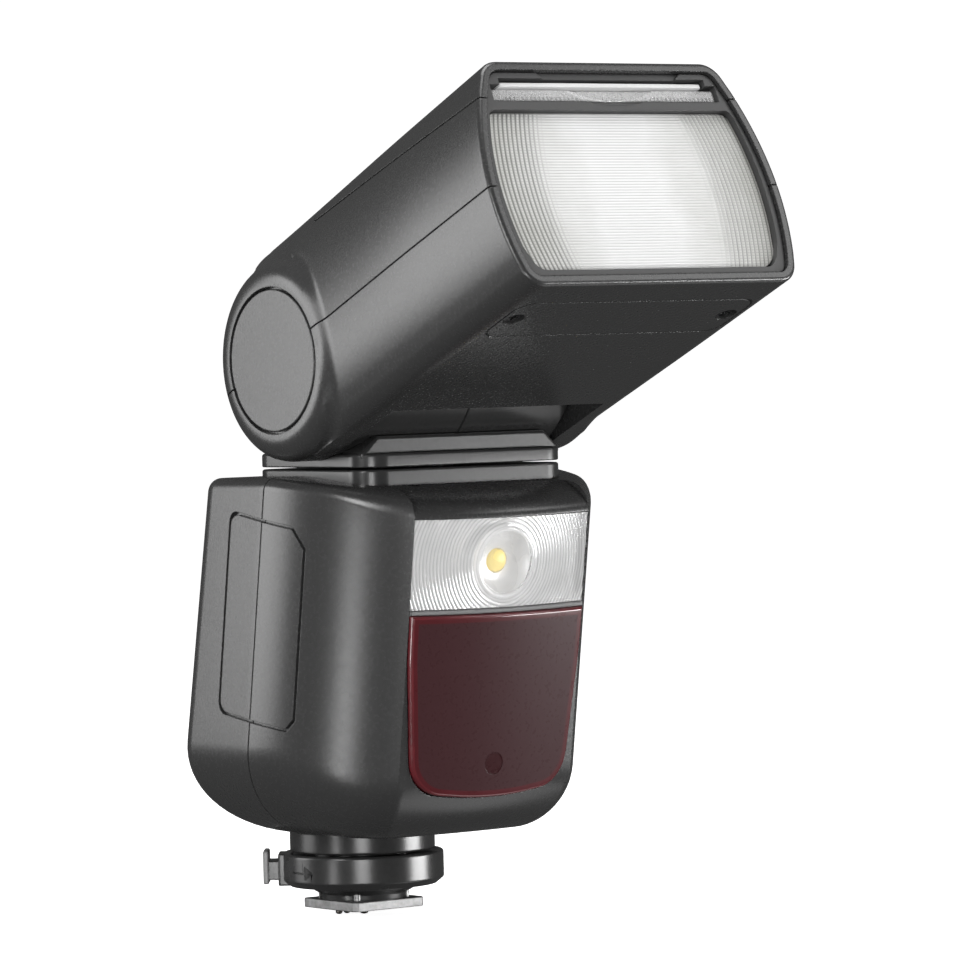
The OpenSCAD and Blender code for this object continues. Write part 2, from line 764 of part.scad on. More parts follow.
module head_solid() {
  difference() {
    union() {
      head_prism(head_back, head_u) polygon(head_outline(0));
      // cheek bosses round the tilt axis
      for (s = [0, 180]) rotate([0, 0, s]) rotate([0, 90, 0]) rotate_extrude() polygon([
        [0, cheek_in], [cheek_r, cheek_in], [cheek_r, head_half_w - 4], [cheek_r - 1, head_half_w - 1.8],
        [cheek_r - 3.2, head_half_w - 0.5], [cheek_r - 5, head_half_w], [0, head_half_w]]);
    }
    above_head(0);
    // slot for the drum and the yoke base
    bar_x(-cheek_in, cheek_in, slot_r);
    block([-cheek_in, -slot_r, -60], [cheek_in, 60, 0]);
    block([-cheek_in, -head_back, -1], [cheek_in, 60, 60]);
    // axle bores and cap seats
    bar_x(-34.3, 34.3, axle_r + run);
    for (s = [0, 180]) rotate([0, 0, s]) bar_x(head_half_w - cap_t, 60, cap_r + 0.25);
  }
}

module head_cavity() {
  difference() {
    head_prism(slot_r + 2, head_u + 5) polygon(head_outline(wall));
    above_head(wall);
  }
}

// side view of the top cover, drawn in by g
module cover_region(g) {
  head_side() polygon([[-cover_back - g, cover_back_w + g], [-cover_back - g, 60], [-head_u - 5, 60],
                       [-head_u - 5, cover_front_w + g]]);
}

module head_screw_at() { for (s = [-1, 1]) translate([s * head_screw_x, -head_screw_u, 0]) children(); }

module head_lower_shell() {
  color("#2c2c2e") in_head() difference() {
    intersection() {
      head_solid();
      block([-60, -120, -60], [60, 60, head_seam - part_gap]);
    }
    head_cavity();
    // shallow plate recess and the screw seats
    translate([0, 0, head_low]) block([-30, -72.8, -1], [30, -57.6, 0.35]);
    head_screw_at() bar_z(-30, -19.9, 2.3);
    head_screw_at() bar_z(-30, 0, 1.05);
  }
}
module head_upper_shell() {
  color("#2c2c2e") in_head() difference() {
    intersection() {
      head_solid();
      block([-60, -120, head_seam + part_gap], [60, 60, 60]);
    }
    head_cavity();
    cover_region(-part_gap);
  }
}
module head_top_cover() {
  color("#2a2a2c") in_head() difference() {
    intersection() {
      head_solid();
      cover_region(part_gap);
    }
    head_cavity();
  }
}

module lens_frame() {
  color("#3a3a3c") in_head() difference() {
    union() {
      intersection() {
        head_prism(frame_back, head_u - 0.8) polygon(head_outline(wall + slip));
        head_side() polygon([[0, -60], [0, head_high - 5.6], [-head_u, head_high - wall - 0.4],
                             [-head_u, -60]]);
      }
      // shelf under the two pull-out panels
      block([-28, -frame_back - 1, 18.2], [28, -panel_back - 2, 19.1]);
      // lugs for the two screws
      for (s = [-1, 1]) translate([s * head_screw_x, 0, 0])
        block([-2.8, -frame_back - 1, -19], [2.8, 3.7 - head_screw_u, -15]);
    }
    // opening for the lens, stepped behind it
    head_prism(lens_u - lens_t, head_u + 5) polygon(lens_outline(-slip));
    head_prism(0, head_u) polygon(lens_outline(1.6));
    // slot for the panels
    block([-28.9, -head_u - 5, 19.3], [28.9, -frame_back + 5, 23]);
    block([-26.4, -head_u - 5, 22.5], [26.4, -frame_back + 5, 24.4]);
    head_screw_at() bar_z(-30, -14, 0.95);
    translate([rod_x, 0, rod_w]) bar_y(-frame_back - 2.1, 0, rod_r);
    translate([rod_x, 0, -rod_w]) bar_y(-frame_back - 2.1, 0, rod_r);
    translate([screw_x, 0, screw_w]) bar_y(-frame_back - 2.1, 0, screw_r + run);
  }
}

module fresnel_lens() {
  color("#eef2f4") in_head() head_prism(lens_u - lens_t + slip, lens_u) polygon(lens_outline(0));
}

module pivot_caps() {
  color("#39393b") in_head() for (s = [0, 180]) rotate([0, 0, s]) difference() {
    bar_x(head_half_w - cap_t, head_half_w, cap_r);
    // notch for prising the cap out
    rotate([s == 0 ? -135 : -45, 0, 0]) translate([head_half_w, 0, cap_r])
      cube([1.6, 1.2, 1.4], center = true);
  }
}

module head_screws() {
  color("#1b1b1c") in_head() head_screw_at() difference() {
    union() {
      bar_z(-20.8, -19.9, 1.9);
      bar_z(-19.9, -14.4, 0.9);
    }
    for (a = [0, 90]) rotate([0, 0, a]) translate([0, 0, -20.8]) cube([2.4, 0.5, 0.8], center = true);
  }
}

module zoom_motor() {
  color("#9a9a96") in_head() translate([screw_x, 0, screw_w]) {
    bar_y(-35.5, -24, 3.7);
    bar_y(-36, -35.5, 1.8);
  }
}
module lead_screw() {
  color("#c8c4b8") in_head() translate([screw_x, 0, screw_w]) bar_y(-frame_back - 2, -36.1, screw_r);
}
module guide_rods() {
  color("#c0c0c0") in_head() for (w = [-rod_w, rod_w]) translate([rod_x, 0, w])
    bar_y(-frame_back - 2, -slot_r - 2, rod_r);
}

module zoom_carriage() {
  color("#4c4c4e") in_head() difference() {
    union() {
      block([-33, -29.6, -12], [24.6, -27, 12]);
      block([24.1, -44, 2.6], [25.3, -27, 9.4]);
      block([24.1, -44, 2.6], [33, -40, 9.4]);
    }
    for (w = [-rod_w, rod_w]) translate([rod_x, 0, w]) bar_y(-60, 0, rod_r + run);
    translate([screw_x, 0, screw_w]) bar_y(-60, 0, screw_r + run);
  }
}

tube_u = 34;
tube_r = 2.2;
// half height of the reflector's bowl at a distance from its back wall
function bowl(u) = 2.9 + (reflector_half_h - 3.9) * sqrt(u / (reflector_front - reflector_back - 1));
module reflector() {
  steps = 8;
  depth = reflector_front - reflector_back - 1;
  upper = [for (i = [0:steps]) [-reflector_back - 1 - depth * i / steps, bowl(depth * i / steps)]];
  lower = [for (i = [steps:-1:0]) [-reflector_back - 1 - depth * i / steps, -bowl(depth * i / steps)]];
  color("#d8dadc") in_head() difference() {
    block([-reflector_half_w, -reflector_front, -reflector_half_h],
          [reflector_half_w, -reflector_back, reflector_half_h]);
    side_prism(1 - reflector_half_w, reflector_half_w - 1) polygon(concat(upper, lower));
    translate([0, -tube_u, 0]) bar_x(-30, 30, tube_r + slip / 2);
  }
}
module flash_tube() {
  color("#f0f0e8") in_head() translate([0, -tube_u, 0]) bar_x(-25.5, 25.5, tube_r);
}

module wide_panel() {
  color("#e4eaee") in_head() difference() {
    union() {
      block([-27.2, -79, 19.7], [27.2, -panel_back, 20.8]);
      block([-28.6, -80.2, 19.6], [28.6, -78.2, 22.3]);
    }
    // thumb dip in the front edge
    translate([2, -80.2, 15.2]) rotate([90, 0, 0]) cylinder(h = 3, r = 6, center = true);
  }
}
module bounce_card() {
  color("#f4f4f2") in_head() block([-26, -80.2, 22.9], [26, -panel_back, 23.8]);
}

front_shell();
rear_shell();
top_plinth();
led_window();
led_reflector();
led_board();
window_divider();
sensor_panel();
af_lamp();
main_board();
flash_capacitor();
battery_tray();
battery_contacts();
lcd_window();
lcd_module();
control_panel();
foot_neck();
foot_block();
foot_plate();
foot_screws();
sync_jack();
usb_port();
lock_ring();
lock_lever();
lock_pin();
sync_pin();
data_pins();
battery_pack();
battery_latch();
port_cover();
select_dial();
set_button();
power_switch();
test_button();
mode_button();
function_button(1);  // function_button_1
function_button(2);  // function_button_2
function_button(3);  // function_button_3
function_button(4);  // function_button_4
yoke_base();
left_drum();
right_drum();
swivel_sleeve();
swivel_nut();
tilt_axle();
head_lower_shell();
head_upper_shell();
head_top_cover();
lens_frame();
fresnel_lens();
pivot_caps();
head_screws();
zoom_motor();
guide_rods();
lead_screw();
zoom_carriage();
reflector();
flash_tube();
wide_panel();
bounce_card();
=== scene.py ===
"""Looks of the shoe-mount speedlight flash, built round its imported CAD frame."""

import bmesh
import bpy
import math

import numpy as np
from mathutils import Matrix, Vector


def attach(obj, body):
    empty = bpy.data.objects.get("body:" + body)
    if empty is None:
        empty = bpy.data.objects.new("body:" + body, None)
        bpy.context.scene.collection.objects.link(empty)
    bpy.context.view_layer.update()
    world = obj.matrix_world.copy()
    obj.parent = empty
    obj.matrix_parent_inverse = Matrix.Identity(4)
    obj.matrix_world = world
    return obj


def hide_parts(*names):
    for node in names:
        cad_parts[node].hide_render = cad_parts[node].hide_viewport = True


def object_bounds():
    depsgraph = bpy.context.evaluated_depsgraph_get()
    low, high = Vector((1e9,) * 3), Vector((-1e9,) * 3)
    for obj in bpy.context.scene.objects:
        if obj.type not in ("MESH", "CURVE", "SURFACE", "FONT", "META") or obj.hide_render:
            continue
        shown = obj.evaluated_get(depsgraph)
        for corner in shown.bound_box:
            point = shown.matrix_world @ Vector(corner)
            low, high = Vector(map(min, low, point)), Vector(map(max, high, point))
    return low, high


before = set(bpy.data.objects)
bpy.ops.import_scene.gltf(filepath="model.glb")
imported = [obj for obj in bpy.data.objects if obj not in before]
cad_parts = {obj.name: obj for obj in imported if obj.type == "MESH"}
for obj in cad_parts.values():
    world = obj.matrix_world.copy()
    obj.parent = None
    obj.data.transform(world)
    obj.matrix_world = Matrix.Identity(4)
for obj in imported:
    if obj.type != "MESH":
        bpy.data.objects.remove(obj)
cad_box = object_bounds()

# ======== Sizes of the design in millimetres, the same ones that the CAD part states ========
MM = 0.001
LEAN, BACK_TILT, HEAD_TILT = 8.5, 2.3, 23.8
CASE_HALF_W, CASE_BACK, CASE_FRONT, BACK_MID = 37.5, 18.39, -38.9, 63.0
SIDE_R, SEAM_Y, CASE_BOTTOM = 47.0, -6.2, 17.3
WINDOW_HALF_W, WINDOW_LOW, WINDOW_HIGH = 22.5, 72.0, 90.8
BULGE, PANEL_LOW, PANEL_PROUD = 2.0, 31.3, 0.8
LAMP_Z, AF_SEEN_X, AF_R, AF_Z = 81.3, -0.2, 2.3, 39.3
SWIVEL_Y, PLINTH_TOP, PLINTH_W, PLINTH_D = -20.5, 94.3, 53.4, 40.6
TILT_Y, TILT_Z, CHEEK_R, CHEEK_IN = -23.6, 117.2, 21.0, 27.4
HEAD_U, HEAD_BACK, HEAD_HALF_W, HEAD_HIGH, HEAD_LOW = 81.8, -3.0, 37.2, 27.9, -21.2
HEAD_SIDE_R, WIDEST_W, TOP_FALL, WALL = 59.0, -2.0, 1.5, 2.0
CAP_R, CAP_T, SLOT_R, BOSS_R = 15.0, 1.6, 21.4, 15.8
HEAD_SEAM, COVER_BACK, COVER_BACK_W, COVER_FRONT_W = 0.3, 18.7, 22.7, 19.4
LENS_HALF_W, LENS_LOW, LENS_HIGH, LENS_U = 33.6, -17.5, 17.3, 79.8
BAY_BACK, BAY_FRONT, BAY_LOW, BAY_HIGH = 5.3, -19.0, 43.4, 86.5
RING_R, RING_LOW, RING_HIGH, NECK_R, HUB_R = 17.3, 4.9, 12.0, 15.5, 12.0
LEVER_ANGLE, LEVER_R = 142.0, 21.2
SEAM_GAP, BROW_BACK, BARE_R = 0.3, -25.5, 6.7
LEVEL_PITCH, UPRIGHT_PITCH, UPRIGHT_FROM = 0.62, 1.1, 19.0
RINGS_X, RINGS_R, RINGS_PITCH = 0.3, 7.6, 0.8

FRONT_R = (WINDOW_HALF_W ** 2 + BULGE ** 2) / (2 * BULGE)
FRONT_CENTRE = CASE_FRONT - BULGE + FRONT_R
SIDE_START = CASE_FRONT + SIDE_R * math.sin(math.acos(1 - (CASE_HALF_W - WINDOW_HALF_W) / SIDE_R))
COS_L, SIN_L = math.cos(math.radians(LEAN)), math.sin(math.radians(LEAN))


def turn_x(degrees):
    return Matrix.Rotation(math.radians(degrees), 4, "X")


WORLD = Matrix.Identity(4)
CASE = turn_x(LEAN)
BACK = CASE @ Matrix.Translation((0, CASE_BACK, BACK_MID)) @ turn_x(BACK_TILT)
HEAD = Matrix.Translation((0, TILT_Y, TILT_Z)) @ turn_x(-HEAD_TILT)


# ======== Outlines ========
def arc(cx, cy, r, a0, a1, n):
    a = np.radians(np.linspace(a0, a1, n + 1))
    return np.stack([cx + r * np.cos(a), cy + r * np.sin(a)], 1)


def rounded(points, radii, n=8):
    """A counter-clockwise polygon with each corner rounded by its own radius."""
    points = [np.array(p, float) for p in points]
    if not hasattr(radii, "__len__"):
        radii = [radii] * len(points)
    out = []
    for i, (b, r) in enumerate(zip(points, radii)):
        a, c = points[i - 1], points[(i + 1) % len(points)]
        if r <= 0:
            out.append(b)
            continue
        p, q = (a - b) / np.linalg.norm(a - b), (c - b) / np.linalg.norm(c - b)
        half = math.acos(np.clip(p @ q, -1, 1)) / 2
        centre = b + (p + q) / np.linalg.norm(p + q) * r / math.sin(half)
        s, e = b + p * r / math.tan(half) - centre, b + q * r / math.tan(half) - centre
        a0 = math.atan2(s[1], s[0])
        turn = (math.atan2(e[1], e[0]) - a0 + math.pi) % (2 * math.pi) - math.pi
        for k in range(n + 1):
            t = a0 + turn * k / n
            out.append(centre + r * np.array([math.cos(t), math.sin(t)]))
    return np.array(out)


def rectangle(x0, y0, x1, y1, r=0.0, n=8):
    return rounded([(x0, y0), (x1, y0), (x1, y1), (x0, y1)], r, n)


def disc(r, n=64, cx=0.0, cy=0.0):
    return arc(cx, cy, r, 0, 360, n)[:-1]


def shrink(outline, d):
    """The outline with each vertex moved in by d along its mitre; d is one number or one per vertex."""
    p = np.asarray(outline, float)
    a, b = p - np.roll(p, 1, 0), np.roll(p, -1, 0) - p
    a /= np.linalg.norm(a, axis=1)[:, None]
    b /= np.linalg.norm(b, axis=1)[:, None]
    na, nb = np.stack([-a[:, 1], a[:, 0]], 1), np.stack([-b[:, 1], b[:, 0]], 1)
    mitre = (na + nb) / (1 + np.sum(na * nb, 1))[:, None]
    return p + np.broadcast_to(np.asarray(d, float), len(p))[:, None] * mitre


# how an outline's two coordinates and its height along the extrusion become x, y, z
def flat(p):
    return (p[0], p[1], p[2])


def facing_front(p):
    return (p[0], p[2], p[1])


def facing_side(p):
    return (p[2], p[0], p[1])


# ======== Mesh making ========
class Shape:
    """Closed solids gathered into one mesh, each set of faces with its own material number."""

    def __init__(self):
        self.verts, self.faces, self.mats = [], [], []

    def add(self, verts, faces, mat=0):
        base = len(self.verts)
        self.verts += [tuple(v) for v in verts]
        self.faces += [[base + i for i in f] for f in faces]
        self.mats += list(mat) if hasattr(mat, "__len__") else [mat] * len(faces)
        return self

    def loft(self, rings, mat=0, caps=True, closed=True):
        n = len(rings[0])
        verts = [p for ring in rings for p in ring]
        faces = []
        for k in range(len(rings) - 1):
            for i in range(n if closed else n - 1):
                j = (i + 1) % n
                faces.append([k * n + i, k * n + j, (k + 1) * n + j, (k + 1) * n + i])
        if caps:
            faces.append(list(range(n))[::-1])
            faces.append([(len(rings) - 1) * n + i for i in range(n)])
        return self.add(verts, faces, mat)

    def slab(self, outline, low, high, r_low=0.0, r_high=0.0, to=flat, mat=0, steps=4):
        """An extruded outline whose end edges are rounded."""
        rings = []
        if r_low > 0:
            rings.append((shrink(outline, r_low + 0.04), low))
            for k in range(steps + 1):
                a = math.pi / 2 * k / steps
                rings.append((shrink(outline, r_low * (1 - math.sin(a))), low + r_low * (1 - math.cos(a))))
        else:
            rings.append((outline, low))
        if r_high > 0:
            for k in range(steps + 1):
                a = math.pi / 2 * k / steps
                rings.append((shrink(outline, r_high * (1 - math.cos(a))), high - r_high * (1 - math.sin(a))))
            rings.append((shrink(outline, r_high + 0.04), high))
        else:
            rings.append((outline, high))
        return self.loft([[to((p[0], p[1], z)) for p in ring] for ring, z in rings], mat)

    def lathe(self, profile, n=96, to=flat, mat=0, at=(0, 0, 0)):
        """A closed profile of (radius, height) turned about the height axis."""
        rings = []
        for k in range(n):
            a = 2 * math.pi * k / n
            rings.append([to((r * math.cos(a), r * math.sin(a), z)) for r, z in profile])
        rings = [[tuple(np.add(p, at)) for p in ring] for ring in rings]
        return self.loft(rings + [rings[0]], mat, caps=False)

    def mesh(self, name, place=WORLD):
        me = bpy.data.meshes.new(name)
        me.from_pydata([tuple(v) for v in self.verts], [], self.faces)
        me.polygons.foreach_set("material_index", np.array(self.mats, np.int32))
        bm = bmesh.new()
        bm.from_mesh(me)
        bmesh.ops.remove_doubles(bm, verts=bm.verts, dist=1e-5)
        bmesh.ops.dissolve_degenerate(bm, dist=1e-6, edges=bm.edges)
        bm.transform(place)
        bmesh.ops.recalc_face_normals(bm, faces=bm.faces)
        bm.to_mesh(me)
        bm.free()
        return me

    def object(self, name, place=WORLD):
        obj = bpy.data.objects.new(name, self.mesh(name, place))
        bpy.context.scene.collection.objects.link(obj)
        return obj


def boolean(obj, tool, operation="DIFFERENCE", solver="MANIFOLD"):
    """obj cut by, joined to or kept inside tool, which is used up, all in millimetres."""
    m = obj.modifiers.new("cut", "BOOLEAN")
    m.operation, m.object, m.solver = operation, tool, solver
    dg = bpy.context.evaluated_depsgraph_get()
    result = bpy.data.meshes.new_from_object(obj.evaluated_get(dg))
    obj.modifiers.clear()
    if len(result.polygons) == 0 and solver == "MANIFOLD":
        bpy.data.meshes.remove(result)
        return boolean(obj, tool, operation, "EXACT")
    old, obj.data = obj.data, result
    bpy.data.meshes.remove(old)
    mesh = tool.data
    bpy.data.objects.remove(tool)
    bpy.data.meshes.remove(mesh)
    return obj


def copy_of(obj, name):
    new = bpy.data.objects.new(name, obj.data.copy())
    bpy.context.scene.collection.objects.link(new)
    return new


def finish_piece(obj, body, finishes, node=None, slot=None, sharp=32, weighted=True):
    """Turns millimetres into metres, shades the mesh, and makes it ride on its body."""
    materials = [FINISHES[key] for key in ([finishes] if isinstance(finishes, str) else finishes)]
    bm = bmesh.new()
    bm.from_mesh(obj.data)
    bmesh.ops.remove_doubles(bm, verts=bm.verts, dist=2e-4)
    bmesh.ops.scale(bm, vec=(MM, MM, MM), verts=bm.verts)
    limit = math.radians(sharp)
    for f in bm.faces:
        f.smooth = True
    for e in bm.edges:
        e.smooth = len(e.link_faces) == 2 and e.calc_face_angle(math.pi) < limit
    bm.to_mesh(obj.data)
    bm.free()
    # emptying the slots also forgets which face uses which, so the numbers are kept aside
    numbers = np.zeros(len(obj.data.polygons), np.int32)
    obj.data.polygons.foreach_get("material_index", numbers)
    obj.data.materials.clear()
    for material in materials:
        obj.data.materials.append(material)
    obj.data.polygons.foreach_set("material_index", np.minimum(numbers, len(materials) - 1))
    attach(obj, body)
    if weighted:
        even = obj.modifiers.new("even_shading", "WEIGHTED_NORMAL")
        even.keep_sharp, even.weight = True, 80
    if node:
        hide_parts(node)
    # the CAD's own materials already have these names, so Blender numbers the new ones
    slot or materials[0].name.split(".")[0]


# ======== Materials ========
def nodes_of(name):
    mat = bpy.data.materials.new(name)
    mat.use_nodes = True
    tree = mat.node_tree
    return mat, tree, tree.nodes["Principled BSDF"]


def noise(tree, coords, scale, detail=2.0, rough=0.5, stretch=None):
    n = tree.nodes.new("ShaderNodeTexNoise")
    n.inputs["Scale"].default_value = scale
    n.inputs["Detail"].default_value = detail
    n.inputs["Roughness"].default_value = rough
    source = coords.outputs["Object"]
    if stretch:
        m = tree.nodes.new("ShaderNodeMapping")
        m.inputs["Scale"].default_value = stretch
        tree.links.new(source, m.inputs["Vector"])
        source = m.outputs["Vector"]
    tree.links.new(source, n.inputs["Vector"])
    return n.outputs["Fac"]


def spread(tree, fac, low, high, start=0.15, end=0.85):
    r = tree.nodes.new("ShaderNodeMapRange")
    r.inputs["From Min"].default_value, r.inputs["From Max"].default_value = start, end
    r.inputs["To Min"].default_value, r.inputs["To Max"].default_value = low, high
    tree.links.new(fac, r.inputs["Value"])
    return r.outputs["Result"]


def tint(tree, fac, dark, light, start=0.15, end=0.85):
    r = tree.nodes.new("ShaderNodeValToRGB")
    r.color_ramp.elements[0].position, r.color_ramp.elements[0].color = start, (*dark, 1)
    r.color_ramp.elements[1].position, r.color_ramp.elements[1].color = end, (*light, 1)
    tree.links.new(fac, r.inputs["Fac"])
    return r.outputs["Color"]


def surface(name, dark, light, rough=(0.4, 0.5), grain=3600.0, depth=0.02, strength=0.3, metal=0.0, spec=0.5,
            edge=0.25, coat=0.0, coat_rough=0.1, stretch=None, blotch=1100.0, alpha=1.0, glow=None):
    """A moulded, plated or milled surface: fine grain in its bump, slow changes of colour and roughness.
    edge is the radius in millimetres by which the shading rounds sharp edges."""
    mat, tree, bsdf = nodes_of(name)
    coords = tree.nodes.new("ShaderNodeTexCoord")
    slow = noise(tree, coords, blotch, 3.0)
    fine = noise(tree, coords, grain, 2.0, 0.6, stretch)
    tree.links.new(tint(tree, slow, dark, light), bsdf.inputs["Base Color"])
    tree.links.new(spread(tree, slow, *rough), bsdf.inputs["Roughness"])
    bump = tree.nodes.new("ShaderNodeBump")
    bump.inputs["Strength"].default_value = strength
    bump.inputs["Distance"].default_value = depth * MM
    tree.links.new(fine, bump.inputs["Height"])
    if edge > 0:
        bevel = tree.nodes.new("ShaderNodeBevel")
        bevel.samples = 4
        bevel.inputs["Radius"].default_value = edge * MM
        tree.links.new(bevel.outputs["Normal"], bump.inputs["Normal"])
    tree.links.new(bump.outputs["Normal"], bsdf.inputs["Normal"])
    bsdf.inputs["Metallic"].default_value = metal
    bsdf.inputs["Specular IOR Level"].default_value = spec
    if glow:
        bsdf.inputs["Emission Color"].default_value = (*glow[0], 1)
        bsdf.inputs["Emission Strength"].default_value = glow[1]
    bsdf.inputs["Coat Weight"].default_value = coat
    bsdf.inputs["Coat Roughness"].default_value = coat_rough
    bsdf.inputs["Alpha"].default_value = alpha
    return mat


def grey(v, warm=0.0):
    return (v * (1 + warm), v, v * (1 - warm))


def calc(tree, operation, a, b=0.0, c=0.0):
    """One math node; a, b and c are numbers or the outputs of other nodes."""
    node = tree.nodes.new("ShaderNodeMath")
    node.operation = operation
    for socket, value in zip(node.inputs, (a, b, c)):
        if isinstance(value, (int, float)):
            socket.default_value = value
        else:
            tree.links.new(value, socket)
    return node.outputs[0]


def groove_shade_of(tree, phase, width):
    """1 in the narrow valley at each whole number of phase, falling to 0 within width of it: where painted
    shade darkens the valleys.
    """
    away = calc(tree, "PINGPONG", phase, 0.5)
    return calc(tree, "SUBTRACT", 1.0, calc(tree, "MINIMUM", calc(tree, "DIVIDE", away, width), 1.0))


def lens_groove_shade(tree, axes, side):
    """The lens's valleys, as the mask of their painted shade: level ones everywhere, and bowed upright ones
    towards the sides.
    """
    tilt = math.radians(HEAD_TILT)
    y, z = axes.outputs["Y"], axes.outputs["Z"]
    dy = calc(tree, "MULTIPLY", calc(tree, "SUBTRACT", y, TILT_Y * MM), math.sin(tilt))
    dz = calc(tree, "MULTIPLY", calc(tree, "SUBTRACT", z, TILT_Z * MM), math.cos(tilt))
    w = calc(tree, "DIVIDE", calc(tree, "ADD", dy, dz), MM)
    level = groove_shade_of(tree, calc(tree, "DIVIDE", calc(tree, "ADD", w, 30.0), LEVEL_PITCH), 0.3)
    rise = calc(tree, "POWER", calc(tree, "ADD", w, 1.0), 2.0)
    straight = calc(tree, "ADD", calc(tree, "DIVIDE", side, MM), calc(tree, "DIVIDE", rise, 2 * HEAD_SIDE_R))
    upright = groove_shade_of(tree, calc(tree, "DIVIDE", straight, UPRIGHT_PITCH), 0.28)
    part = spread(tree, straight, 0.0, 1.0, UPRIGHT_FROM, UPRIGHT_FROM + 5)
    near = calc(tree, "MULTIPLY", upright, part)
    return calc(tree, "MAXIMUM", near, calc(tree, "MULTIPLY", level, 0.5))


def window_ring_shade(tree, axes, side):
    """The lamp window's valleys, as the mask of their painted shade: circles round the lamp."""
    y, z = axes.outputs["Y"], axes.outputs["Z"]
    up = calc(tree, "SUBTRACT", calc(tree, "MULTIPLY", z, COS_L), calc(tree, "MULTIPLY", y, SIN_L))
    dz = calc(tree, "SUBTRACT", calc(tree, "DIVIDE", up, MM), LAMP_Z)
    dx = calc(tree, "SUBTRACT", calc(tree, "DIVIDE", axes.outputs["X"], MM), RINGS_X)
    far = calc(tree, "ADD", calc(tree, "POWER", dx, 2.0), calc(tree, "POWER", dz, 2.0))
    r = calc(tree, "SUBTRACT", calc(tree, "SQRT", far), RINGS_R)
    circle = groove_shade_of(tree, calc(tree, "DIVIDE", r, RINGS_PITCH), 0.3)
    return calc(tree, "MULTIPLY", calc(tree, "MULTIPLY", circle, calc(tree, "GREATER_THAN", r, 0.0)), 0.55)


def clear_sheet(name, alpha, bright, dim, half_w, rough=(0.06, 0.12), groove_shade=None):
    """Clear ribbed plastic in front of a bright reflector, its colour painted with the reflector's light:
    palest in the middle and greyer to the sides, with painted shade in the valleys when a valley mask is
    given.
    """
    mat, tree, bsdf = nodes_of(name)
    coords = tree.nodes.new("ShaderNodeTexCoord")
    axes = tree.nodes.new("ShaderNodeSeparateXYZ")
    tree.links.new(coords.outputs["Object"], axes.inputs["Vector"])
    side = calc(tree, "ABSOLUTE", axes.outputs["X"])
    slow = noise(tree, coords, 90, 3.0)
    half = half_w * MM
    # painted light: the reflector's light through the plastic, painted as a pale middle that turns grey
    # towards the sides
    reach = spread(tree, calc(tree, "MULTIPLY_ADD", slow, 0.5 * half, side), 0.0, 1.0, 0.5 * half, 1.2 * half)
    colour = tint(tree, reach, bright, dim, 0.0, 1.0)
    # painted shade in the valleys: the colour is multiplied towards grey where the valley mask is 1
    if groove_shade:
        dark = tree.nodes.new("ShaderNodeMix")
        dark.data_type, dark.blend_type = "RGBA", "MULTIPLY"
        tree.links.new(groove_shade(tree, axes, side), dark.inputs["Factor"])
        tree.links.new(colour, dark.inputs["A"])
        dark.inputs["B"].default_value = (*grey(0.42), 1)
        colour = dark.outputs["Result"]
    tree.links.new(colour, bsdf.inputs["Base Color"])
    tree.links.new(spread(tree, slow, *rough), bsdf.inputs["Roughness"])
    bsdf.inputs["Alpha"].default_value = alpha
    bsdf.inputs["Coat Weight"].default_value = 1.0
    bsdf.inputs["Coat Roughness"].default_value = 0.05
    return mat


